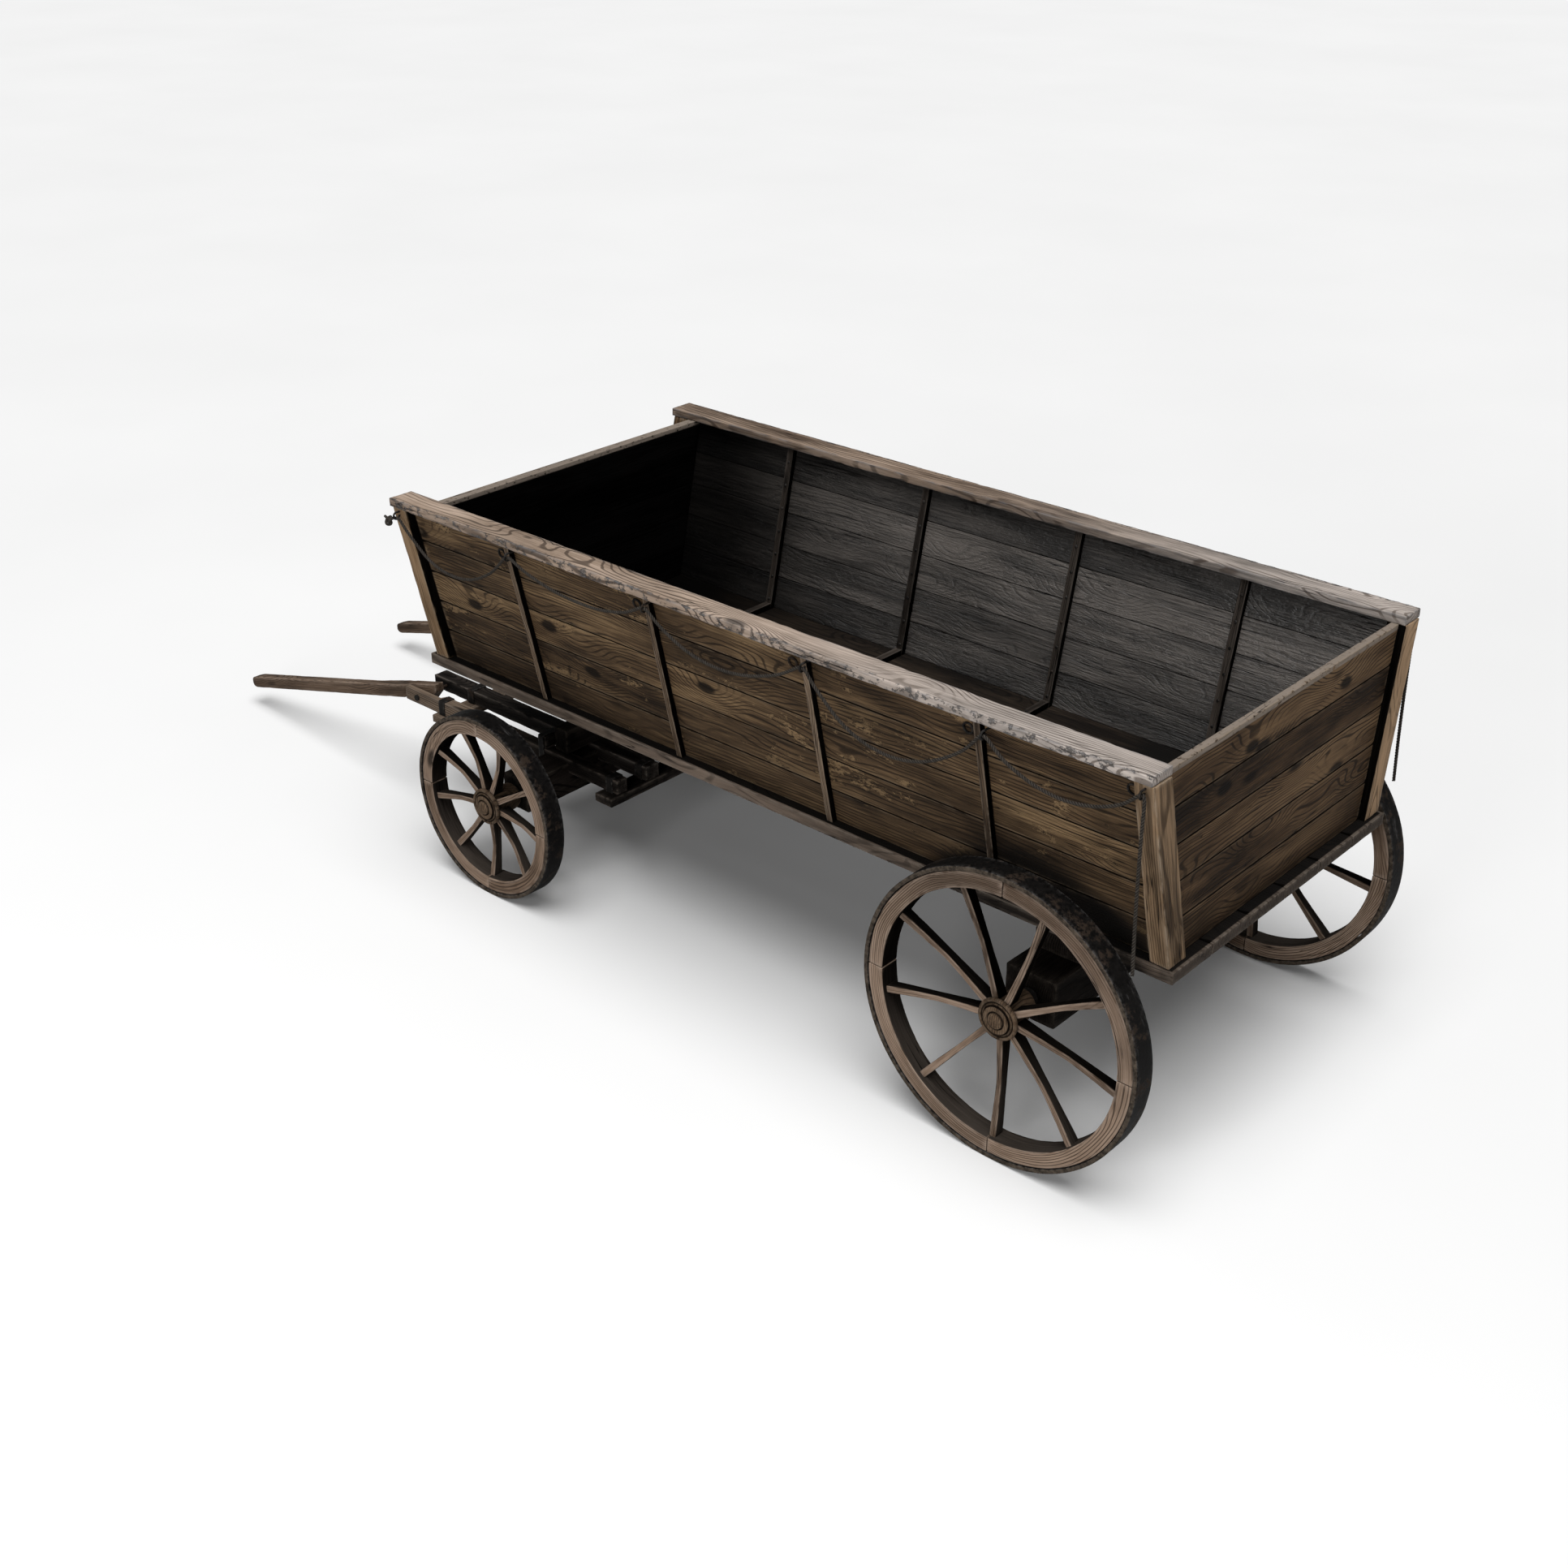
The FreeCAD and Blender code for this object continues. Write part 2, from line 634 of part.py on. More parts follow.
def shaft():
    """Draft shaft drooping to the front, with a narrower tongue between the frame bars."""
    y0, y1 = TONGUE
    side = prism([V(x, y0, z) for x, z in SHAFT_SIDE], V(0, SHAFT_OUT - y0, 0))
    plan = prism([V(x, y, 0) for x, y in SHAFT_PLAN], V(0, 0, RAIL_BOTTOM))
    beam = side.common(plan).removeSplitter()
    return beam.cut(rod(PIN_R + PIN_FIT, V(PIN_X, y0 - 1, PIN_Z), V(PIN_X, y1 + 1, PIN_Z)))


# ---------------------------------------------------------------- assembly
def both_sides(solids):
    return solids + [mirrored(s) for s in solids]


def wagon_nodes():
    nodes = {}
    nodes["floor_boards"] = floor_boards()
    nodes["floor_bearers"] = floor_bearers()
    side = side_planks()
    nodes["side_planks_left"] = side
    nodes["side_planks_right"] = [mirrored(s) for s in side]
    nodes["tailboard_planks"] = end_planks(TAIL_PLANK, True, POST_IN - 0.5)
    nodes["headboard_planks"] = end_planks(HEAD_PLANK, False, WALL_IN - 0.5)
    rear = post(REAR_POST, True)
    front = post(FRONT_POST, False)
    nodes["rear_posts"] = both_sides([rear])
    nodes["front_posts"] = both_sides([front])
    nodes["side_stakes"] = both_sides(stakes())
    nodes["cap_rail_left"] = [cap_rail()]
    nodes["cap_rail_right"] = [mirrored(cap_rail())]
    nodes["inner_ribs"] = inner_ribs()
    nodes["rib_nails"] = rib_nails()
    nodes["rope_hooks"] = both_sides(rope_irons())
    line = rope()
    nodes["rope_left"] = [line]
    nodes["rope_right"] = [mirrored(line)]

    nodes["rear_axle_block"] = [rear_axle_block()]
    nodes["rear_bolster"] = [block(REAR_BOLSTER)]
    rear_arm = moved(axle_arm(0.0, REAR_BLOCK[2]), REAR_AXLE_X, 0, REAR_R)
    nodes["rear_axle"] = [rear_arm.fuse(mirrored(rear_arm)).removeSplitter()]
    nodes["rear_linchpins"] = both_sides([moved(linchpin(), REAR_AXLE_X, 0, REAR_R)])
    nodes["body_bolster"] = [body_bolster()]
    upper = BODY_BOLSTER[3] - PLATE_T
    nodes["turntable_upper_plate"] = [turntable_plate(upper, KINGPIN_R + CURVED_GAP)]
    nodes["kingpin"] = [kingpin()]
    nodes["kingpin_nut"] = [kingpin_nut()]

    lower = upper - PLATE_GAP - PLATE_T
    nodes["turntable_lower_plate"] = [turntable_plate(lower, KINGPIN_R + KINGPIN_FIT)]
    nodes["front_bolster"] = [front_bolster()]
    nodes["front_axle_block"] = [front_axle_block()]
    front_arm = moved(axle_arm(ARM_START_Y, FRONT_BLOCK[2]), FRONT_AXLE_X, 0, FRONT_R)
    nodes["front_axle_arms"] = both_sides([front_arm])
    nodes["front_linchpins"] = both_sides([moved(linchpin(), FRONT_AXLE_X, 0, FRONT_R)])
    nodes["frame_side_bar_left"] = [side_bar()]
    nodes["frame_side_bar_right"] = [mirrored(side_bar())]
    nodes["frame_inner_bar_left"] = [inner_bar()]
    nodes["frame_inner_bar_right"] = [mirrored(inner_bar())]
    nodes["frame_front_plank"] = [cross_plank(FRONT_PLANK, STRAP_X[0])]
    nodes["frame_rear_plank"] = [cross_plank(REAR_PLANK, STRAP_X[1])]
    nodes["frame_middle_bar"] = [block(MIDDLE_BAR)]
    nodes["frame_straps"] = frame_straps()
    nodes["shaft_pins"] = both_sides([shaft_pin()])
    nodes["draft_shaft_left"] = [shaft()]
    nodes["draft_shaft_right"] = [mirrored(shaft())]

    for place, x, radius in (("rear", REAR_AXLE_X, REAR_R), ("front", FRONT_AXLE_X, FRONT_R)):
        for name, solids in wheel_parts(radius).items():
            left = [moved(s, x, 0, radius) for s in solids]
            nodes[place + "_left_" + name] = left
            nodes[place + "_right_" + name] = [mirrored(s) for s in left]
    return nodes


def export(nodes):
    os.makedirs("parts", exist_ok=True)
    for name, solids in nodes.items():
        placed = [moved(s, -MID_X, 0, 0) for s in solids]
        shape = placed[0] if len(placed) == 1 else Part.makeCompound(placed)
        if not shape.isValid():
            print("not valid:", name)
        shape.exportStep("parts/" + name + ".step")
    print(len(nodes), "nodes")


export(wagon_nodes())
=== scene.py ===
import math

import bpy
import numpy as np
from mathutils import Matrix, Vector


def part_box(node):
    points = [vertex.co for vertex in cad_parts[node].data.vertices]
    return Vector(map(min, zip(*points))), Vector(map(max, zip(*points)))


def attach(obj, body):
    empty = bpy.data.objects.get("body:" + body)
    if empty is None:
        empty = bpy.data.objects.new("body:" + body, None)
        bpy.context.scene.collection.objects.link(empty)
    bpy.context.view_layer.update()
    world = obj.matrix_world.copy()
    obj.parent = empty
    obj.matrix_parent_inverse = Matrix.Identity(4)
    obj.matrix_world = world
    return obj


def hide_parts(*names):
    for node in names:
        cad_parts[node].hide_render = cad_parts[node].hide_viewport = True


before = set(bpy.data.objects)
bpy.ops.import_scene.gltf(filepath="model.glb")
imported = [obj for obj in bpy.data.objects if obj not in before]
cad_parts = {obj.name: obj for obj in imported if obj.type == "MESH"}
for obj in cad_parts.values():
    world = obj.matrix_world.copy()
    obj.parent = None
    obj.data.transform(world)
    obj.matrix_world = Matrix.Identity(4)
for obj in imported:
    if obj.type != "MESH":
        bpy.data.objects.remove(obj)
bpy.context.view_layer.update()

SIDES = (("left", 1), ("right", -1))
MID_X = 0.8775              # the rails' middle stands this far behind the frame's origin

# ------------------------------------------------------------------ camera and light
CAMERA_AT = (-5.298, 5.387, 4.3425)
CAMERA_HEADING = -47.957    # degrees in plan, from +X towards +Y
CAMERA_PITCH = -28.057
CAMERA_LENS = 45.22
STUDIO_LIGHT = 0.28
WAGON_MIDDLE = (-0.9, 0.0, 0.9)


def aim(thing, place, direction):
    """Puts a camera or lamp at a place, looking in a direction."""
    thing.location = place
    thing.rotation_mode = "QUATERNION"
    thing.rotation_quaternion = Vector(direction).to_track_quat("-Z", "Y")
    bpy.context.scene.collection.objects.link(thing)


def make_camera():
    data = bpy.data.cameras.new("camera")
    data.lens = CAMERA_LENS
    data.sensor_width = 36.0
    data.clip_end = 200.0
    camera = bpy.data.objects.new("camera", data)
    heading = math.radians(CAMERA_HEADING)
    pitch = math.radians(CAMERA_PITCH)
    level = math.cos(pitch)
    aim(camera, CAMERA_AT, (math.cos(heading) * level, math.sin(heading) * level, math.sin(pitch)))
    bpy.context.scene.camera = camera


def add_light(name, kind, place, power):
    data = bpy.data.lights.new(name, kind)
    data.energy = power
    aim(bpy.data.objects.new(name, data), place, Vector(WAGON_MIDDLE) - Vector(place))
    return data


def make_light():
    world = bpy.data.worlds.new("studio")
    world.use_nodes = True
    background = world.node_tree.nodes["Background"]
    background.inputs["Color"].default_value = (1.0, 1.0, 1.0, 1.0)
    background.inputs["Strength"].default_value = STUDIO_LIGHT
    bpy.context.scene.world = world
    ceiling = add_light("ceiling", "SUN", (-2.2, 1.4, 8.0), 5.4)
    ceiling.angle = math.radians(50.0)
    near_side = add_light("near_side", "AREA", (-3.2, 8.5, 3.6), 480.0)
    near_side.shape = "DISK"
    near_side.size = 3.5
    bpy.context.scene.view_settings.view_transform = "Standard"
    bpy.context.scene.view_settings.look = "None"


# ------------------------------------------------------------------ shader graphs
def opaque(colour):
    """Three numbers as an opaque colour; a shader value stays as it is."""
    return (*colour, 1.0) if isinstance(colour, tuple) else colour


def tinted(colour, factor):
    return tuple(factor * v for v in colour)


class Value:
    """An output in a node tree, which the usual signs add, subtract and multiply."""

    def __init__(self, graph, socket):
        self.graph, self.socket = graph, socket

    def __add__(self, other):
        return self.graph.math("ADD", self, other)

    def __sub__(self, other):
        return self.graph.math("SUBTRACT", self, other)

    def __rsub__(self, other):
        return self.graph.math("SUBTRACT", other, self)

    def __mul__(self, other):
        return self.graph.math("MULTIPLY", self, other)

    def __abs__(self):
        return self.graph.math("ABSOLUTE", self)

    __radd__, __rmul__ = __add__, __mul__


class Graph:
    """A material's node tree, with short calls for the nodes that the finishes share."""

    def __init__(self, name):
        self.material = bpy.data.materials.new(name)
        self.material.use_nodes = True
        self.tree = self.material.node_tree
        self.tree.nodes.clear()

    def node(self, kind, inputs, **settings):
        made = self.tree.nodes.new(kind)
        for key, value in settings.items():
            setattr(made, key, value)
        for key, value in inputs.items():
            if isinstance(value, Value):
                self.tree.links.new(value.socket, made.inputs[key])
            else:
                made.inputs[key].default_value = value
        return made

    def add(self, kind, inputs, output=0, **settings):
        """Adds a node and gives one of its outputs."""
        return Value(self, self.node(kind, inputs, **settings).outputs[output])

    def math(self, operation, a, b=0.0):
        return self.add("ShaderNodeMath", {0: a, 1: b}, operation=operation)

    def most(self, a, b):
        return self.math("MAXIMUM", a, b)

    def scaled(self, vector, scale):
        return self.add("ShaderNodeVectorMath", {0: vector, 1: scale}, operation="MULTIPLY")

    def distance(self, places, centre, stretch):
        """How far the places are from centre, squashed along each axis by stretch."""
        away = self.add("ShaderNodeVectorMath", {0: places, 1: centre}, operation="SUBTRACT")
        away = self.scaled(away, stretch)
        return self.add("ShaderNodeVectorMath", {0: away}, "Value", operation="LENGTH")

    def noise(self, vector, scale, detail=3.0, roughness=0.55, distortion=0.0):
        inputs = {"Vector": self.scaled(vector, scale), "Scale": 1.0, "Detail": detail,
                  "Roughness": roughness, "Distortion": distortion}
        return self.add("ShaderNodeTexNoise", inputs)

    def fade(self, value, low, high):
        """0 where value is low, 1 where it is high, smooth between; low may be above high."""
        inputs = {"Value": value, "From Min": low, "From Max": high}
        return self.add("ShaderNodeMapRange", inputs, interpolation_type="SMOOTHSTEP")

    def mix(self, a, b, factor):
        return self.add("ShaderNodeMix", {0: factor, 6: opaque(a), 7: opaque(b)}, 2, data_type="RGBA")

    def ramp(self, value, stops):
        made = self.node("ShaderNodeValToRGB", {0: value})
        points = made.color_ramp.elements
        while len(points) < len(stops):
            points.new(0.5)
        for point, (place, colour) in zip(points, stops):
            point.position = place
            point.color = opaque(colour)
        return Value(self, made.outputs[0])

    def shades(self, value, colour, *stops):
        """Ramp through shades of one colour, from (place, factor) stops."""
        return self.ramp(value, [(place, tinted(colour, factor)) for place, factor in stops])

    def split(self, vector):
        return [Value(self, part) for part in self.node("ShaderNodeSeparateXYZ", {0: vector}).outputs]

    def attribute(self, name):
        return self.add("ShaderNodeAttribute", {}, "Vector", attribute_name=name)

    def object_place(self):
        return self.add("ShaderNodeTexCoord", {}, "Object")

    def finish(self, colour, roughness, height, depth, gloss):
        bump = self.add("ShaderNodeBump", {"Strength": 1.0, "Distance": depth, "Height": height})
        inputs = {"Base Color": colour, "Roughness": roughness, "Specular IOR Level": gloss, "Normal": bump}
        self.node("ShaderNodeOutputMaterial", {"Surface": self.add("ShaderNodeBsdfPrincipled", inputs)})
        return self.material


# ------------------------------------------------------------------ wood
FLOOR_MID_X = -0.893        # the floor's middle and half sizes; its edges stick out past the walls
FLOOR_HALF_X = 1.826
FLOOR_HALF_Y = 0.698
EDGE = 0.002                # the floor's edges blend in over this much to either side
WALLS_Y = (0.628, 0.640)    # where the walls stand on the floor: from inside the box to outside it
TAIL_X = (-2.655, -2.662)
HEAD_X = (0.822, 0.830)
# near black, for the painted shade in the front of the box
INSIDE_SHADE_BLACK = (0.0004, 0.0004, 0.0004)
# nearly black, for the painted wheel shadow and for the cracks
SHADOW_AND_CRACK_DARK = (0.0015, 0.0012, 0.001)


def growth_lines(g, place, where, blotch, lines, knots, stretch):
    """The dark growth lines, which bend round knots, and the knots."""
    cells = {"Vector": g.scaled(place, (2.0, 5.0, 5.0)), "Scale": 1.0}
    off_knot = g.add("ShaderNodeTexVoronoi", cells, "Distance")
    bend = g.fade(off_knot, 0.55, 0.04)
    knot = g.fade(off_knot, 0.15, 0.06)
    for spot in knots:
        reach = g.distance(where, spot, stretch) + (blotch - 0.5) * 0.03
        knot = g.most(knot, g.fade(reach, 0.032, 0.016))
        bend = g.most(bend, g.fade(reach, 0.13, 0.005))
    sway = g.noise(place, (1.1, 4.0, 4.0), 2.0, 0.5)
    phase = g.split(place)[1] * lines + sway * 11.0 + bend * 5.0 + blotch * 1.6
    wave = g.math("SINE", phase * math.tau)
    shown = g.fade(g.noise(place, (1.2, 12.0, 12.0), 2.0), 0.30, 0.55)
    return g.fade(wave, 0.35, 0.95) * shown, knot


def cracks(g, place):
    course = g.noise(place, (1.7, 85.0, 85.0), 1.0, 0.4, 0.4)
    shown = g.fade(g.noise(place, (1.9, 11.0, 11.0), 1.0), 0.54, 0.62)
    return g.fade(abs(course - 0.5), 0.024, 0.0) * shown


def flaked(g, place, colour, height, light, patches):
    """Old surface that has come off in patches, with dark and speckled rims."""
    flake = g.noise(place, (3.0, 7.0, 7.0), 8.0, 0.78)
    edge = 0.70 - 0.12 * patches
    bare = g.fade(flake, edge, edge + 0.02)
    rim = g.fade(flake, edge - 0.03, edge + 0.02)
    specks = g.fade(g.noise(place, (40.0, 80.0, 80.0), 4.0, 0.75), 0.54, 0.58)
    colour = g.mix(colour, light, bare * 0.70)
    colour = g.mix(colour, (0.003, 0.0025, 0.002), rim * specks * 0.85)
    return colour, height + bare * 0.5


def edged(g, x, off_middle, colour, dark, ledge, level, line):
    """Floor with its top outside the walls painted dark as shade, and pale edges. Also returns the edges'
    mask.
    """
    past_end = abs(x - FLOOR_MID_X) - FLOOR_HALF_X
    edges = g.fade(g.most(off_middle - FLOOR_HALF_Y, past_end), -EDGE, EDGE)
    # painted shade: the floor's top outside the walls is painted near black, up to its pale edges
    shaded_ledge_top = g.most(g.most(g.fade(off_middle, *WALLS_Y), g.fade(x, *TAIL_X)), g.fade(x, *HEAD_X))
    colour = g.mix(colour, tinted(dark, 0.15), shaded_ledge_top * (1.0 - edges) * 0.92)
    pale = g.shades(level, ledge, (0.30, 0.35), (0.50, 1.0), (0.72, 1.7))
    pale = g.mix(pale, tinted(ledge, 0.2), line * 0.6)
    pale = g.mix(pale, tinted(ledge, 0.35), g.fade(x, -2.66, -2.70) * 0.75)
    return g.mix(colour, pale, edges), edges


def chipped(g, where, off_middle, colour, height, arris):
    """Corner with small chips broken away, towards arris[1]."""
    ragged = g.noise(where, (30.0, 48.0, 48.0), 5.0, 0.75)
    near = g.fade(off_middle, *arris)
    broken = g.fade(ragged + near * 0.12, 0.65, 0.69) * near
    fleck = g.fade(g.noise(where, (90.0, 130.0, 130.0), 2.0, 0.6), 0.54, 0.60)
    chip = g.mix((0.026, 0.025, 0.024), (0.082, 0.080, 0.080), fleck)
    return g.mix(colour, chip, broken * 0.82), height - broken * 1.2


def wood(name, dark, middle, light, worn, inner=None, patches=0.0, darker_heights=None, lines=60.0, stain=0.5,
         seam=0.0, gloss=0.06, shaded=None, ledge=None, painted_light=None, arris=None, knots=(),
         stretch=(0.55, 1.0, 1.0), crest=None, wheel_shadow=None, lit=None):
    """Weathered plank: streaks, growth lines that bend round knots, cracks, stains and worn edges.

    inner is the colour of the faces marked as inner ones: painted shade on sides where shade falls,
    and on the box's walls the inside's greyer colour, partly painted shade. lit gives the two heights
    between which these faces are painted paler downwards, as painted light, and how much paler.
    patches is how much of the old surface has flaked, soil the heights over which the wood gets
    darker, stain and seam how dark the stains and the joints are, and gloss its shine. shaded is
    the x over which the box's inside is painted blacker towards the front, as painted shade, ledge
    the colour of the floor's edges, bleached the x over which the wood is painted a paler colour,
    as painted light, and that colour, and arris the distances from the middle over which chips get
    common. knots are the places of single knots, squashed by stretch. crest is the height and colour
    of a worn top edge, and splash the middle and the radii of the painted shadow of the rear wheel."""
    g = Graph(name)
    place = g.attribute("grain")
    where = g.object_place()
    x, y, z = g.split(where)
    off_middle = abs(y)
    wear, inside, tone = g.split(g.attribute("finish"))
    outside = 1.0 - inside

    blotch = g.noise(place, (1.4, 7.0, 7.0), 4.0, 0.6)
    streak = g.noise(place, (4.0, 120.0, 120.0), 4.0, 0.75)
    fibre = g.noise(place, (26.0, 620.0, 620.0), 2.0, 0.6)
    line, knot = growth_lines(g, place, where, blotch, lines, knots, stretch)
    level = streak * 0.6 + blotch * 0.8 - 0.20 + (tone - 0.5) * 0.22
    colour = g.ramp(level, [(0.32, dark), (0.50, middle), (0.70, light)])
    colour = g.mix(colour, tinted(dark, 0.5), line * 0.78)
    height = streak * 0.8 - line * (0.6 - inside * 0.45)

    if patches:
        colour, height = flaked(g, place, colour, height, light, patches)
    stains = g.fade(g.noise(place, (1.7, 3.6, 3.6), 5.0, 0.62), 0.49, 0.70)
    colour = g.mix(colour, tinted(dark, 0.35), stains * stain)
    colour = g.mix(colour, tinted(dark, 0.2), knot * 0.9)
    if ledge:
        colour, edges = edged(g, x, off_middle, colour, dark, ledge, level, line)
    # inner faces take the inner colour: painted shade on sides where shade falls, and for the walls the
    # inside's greyer colour, partly painted shade
    if inner:
        grey = g.shades(level, inner, (0.34, 0.30), (0.50, 1.0), (0.66, 2.2))
        grey = g.mix(grey, tinted(inner, 0.20), line * 0.40)
        # painted light: the inner faces are painted paler between the two heights, towards the bottom
        if lit:
            paler = g.shades(level, inner, (0.34, 0.5 * lit[2]), (0.66, 1.6 * lit[2]))
            grey = g.mix(grey, paler, g.fade(z, lit[0], lit[1]))
        colour = g.mix(colour, grey, inside)
    # outer faces darker between the two heights, towards the first one
    if darker_heights:
        uneven = g.fade(g.noise(where, (1.3, 1.3, 4.0), 4.0, 0.6), 0.25, 0.75)
        low = g.fade(z, darker_heights[1], darker_heights[0]) * (0.55 + uneven * 0.45)
        colour = g.mix(colour, tinted(dark, 0.3), low * outside * 0.72)
    # painted shadow: the outer faces are painted nearly black in a disc round the rear wheel's hub, where
    # the tyre's shadow falls
    if wheel_shadow:
        reach = g.distance(where, wheel_shadow[0], (1.0, 0.0, 1.0)) + (blotch - 0.5) * 0.10
        colour = g.mix(colour, SHADOW_AND_CRACK_DARK, g.fade(reach, wheel_shadow[2], wheel_shadow[1]) * outside * 0.90)
    if crest:
        top = g.fade(z, crest[0] - 0.007, crest[0] - 0.001)
        top = top * g.fade(g.noise(where, (50.0, 40.0, 50.0), 4.0, 0.7), 0.30, 0.46)
        colour = g.mix(colour, g.mix(tinted(crest[1], 0.6), crest[1], streak), top)
    # painted shade: the box's inner faces and the floor within the walls are painted blacker towards the
    # front
    if shaded:
        front = g.fade(x, shaded[1], shaded[0])
        if ledge:
            front = front * g.fade(off_middle, 0.640, 0.630) * g.fade(x, HEAD_X[1], HEAD_X[0])
        else:
            front = front * inside
        colour = g.mix(colour, INSIDE_SHADE_BLACK, front * 0.94)
    # painted light and shade: the outer faces are painted paler at one end of an x range, the rails and
    # posts towards the rear and the front frame bars towards the front, out of the shade under the box
    if painted_light:
        pale = g.shades(level, painted_light[2], (0.30, 0.4), (0.50, 1.0), (0.70, 1.5))
        pale = g.mix(pale, tinted(dark, 0.8), line * 0.7)
        colour = g.mix(colour, pale, g.fade(x, painted_light[0], painted_light[1]) * outside)
    if arris:
        colour, height = chipped(g, where, off_middle, colour, height, arris)

    rubbed = wear * g.fade(g.noise(place, (14.0, 40.0, 40.0), 4.0, 0.6), 0.36, 0.60) * outside
    joint = g.fade(wear - inside * 0.12, 0.36, 0.52) * seam
    if ledge:
        rubbed, joint = rubbed * edges, joint * (1.0 - edges)
    if crest:
        joint = joint * (1.0 - top)
    colour = g.mix(colour, worn, rubbed * 0.8)
    if seam:
        colour = g.mix(colour, (0.0008, 0.0007, 0.0006), joint)
    crack = cracks(g, place)
    colour = g.mix(colour, SHADOW_AND_CRACK_DARK, crack * 0.92)
    height = height - crack * 1.6 + fibre * 0.25

    rough = 0.60 + streak * 0.36
    shine = (gloss + inside * (0.45 if shaded else -gloss)) * (1.0 - joint)
    if shaded:
        pimples = g.noise(place, (30.0, 55.0, 55.0), 3.0, 0.7)
        pimpled = g.fade(g.noise(place, (0.9, 4.0, 4.0), 2.0), 0.35, 0.60)
        height = (height + pimples * pimpled * inside) * (1.0 + inside * 2.6)
        rough = rough - inside * 0.34
        shine = shine * (1.0 - front * 0.9)
    return g.finish(colour, rough, height, 0.0018, shine)


# ------------------------------------------------------------------ other finishes
def iron(name, dark, scale, rust, rubbed, side=None):
    """Forged iron: dark scale, rust in patches and rubbed edges. side is the colour of the
    faces marked as inner ones."""
    g = Graph(name)
    place = g.object_place()
    wear, inside, _ = g.split(g.attribute("finish"))
    broad = g.noise(place, (7.0, 7.0, 7.0), 6.0, 0.68)
    fine = g.noise(place, (60.0, 60.0, 60.0), 5.0, 0.65)
    pits = g.noise(place, (240.0, 240.0, 240.0), 2.0, 0.6)
    rusty = g.fade(broad + fine * 0.3, 0.68, 0.78)
    colour = g.mix(g.ramp(fine, [(0.30, dark), (0.72, scale)]), rust, rusty)
    scuffs = g.fade(g.noise(place, (3.0, 16.0, 5.0), 5.0, 0.7), 0.60, 0.70)
    bright = g.most(wear * g.fade(fine, 0.42, 0.60), scuffs * 0.55)
    colour = g.mix(colour, rubbed, bright * 0.75)
    if side:
        colour = g.mix(colour, g.shades(fine, side, (0.36, 0.35), (0.52, 1.0), (0.66, 1.6)), inside)
    rough = 0.42 + g.most(rusty, fine) * 0.45
    return g.finish(colour, rough, fine * 0.7 + pits * 0.4 + rusty * 0.4, 0.0009, 0.04)


def rope_fibre(name):
    """Old hemp; the finish attribute marks the grooves between the strands, which are painted dark as shade.
    """
    g = Graph(name)
    place = g.attribute("grain")
    fibre = g.noise(place, (60.0, 900.0, 900.0), 3.0, 0.7)
    broad = g.noise(place, (7.0, 7.0, 7.0), 3.0, 0.6)
    level = fibre * 0.7 + broad * 0.4
    colour = g.ramp(level, [(0.34, (0.006, 0.0055, 0.005)), (0.74, (0.046, 0.040, 0.034))])
    # painted shade in the grooves between the strands
    groove = g.split(g.attribute("finish"))[1]
    colour = g.mix(colour, (0.0015, 0.0013, 0.0012), groove * 0.93)
    return g.finish(colour, 0.7 + fibre * 0.28, fibre, 0.0006, 0.03)


def pale_floor():
    g = Graph("pale_floor")
    cloud = g.noise(g.object_place(), (0.4, 0.4, 0.4), 3.0)
    colour = g.ramp(cloud, [(0.2, (0.45, 0.45, 0.45)), (0.8, (0.47, 0.47, 0.47))])
    return g.finish(colour, 0.9, cloud, 0.0001, 0.0)


TYRE_LOW, TYRE_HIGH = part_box("rear_left_tyre")
REAR_HUB = ((TYRE_LOW.x + TYRE_HIGH.x) / 2, 0.0, (TYRE_LOW.z + TYRE_HIGH.z) / 2)
SHADE_X = (0.62, -0.50)     # the painted shade inside the box is blackest in front of the first x

WALL_KNOTS = [(0.126, 0.744, 1.269), (-0.079, 0.712, 1.123), (-0.729, 0.745, 1.270),
              (0.587, 0.735, 1.226), (0.817, 0.795, 1.498)]
TAIL_KNOTS = [(-2.658, -0.388, 1.507), (-2.659, 0.226, 1.496), (-2.662, 0.387, 1.405)]
# very dark wood for the frame bars under the box: painted shade
GREY_WOOD = ((0.0022, 0.0018, 0.0016), (0.0085, 0.0068, 0.0057), (0.024, 0.020, 0.0175))

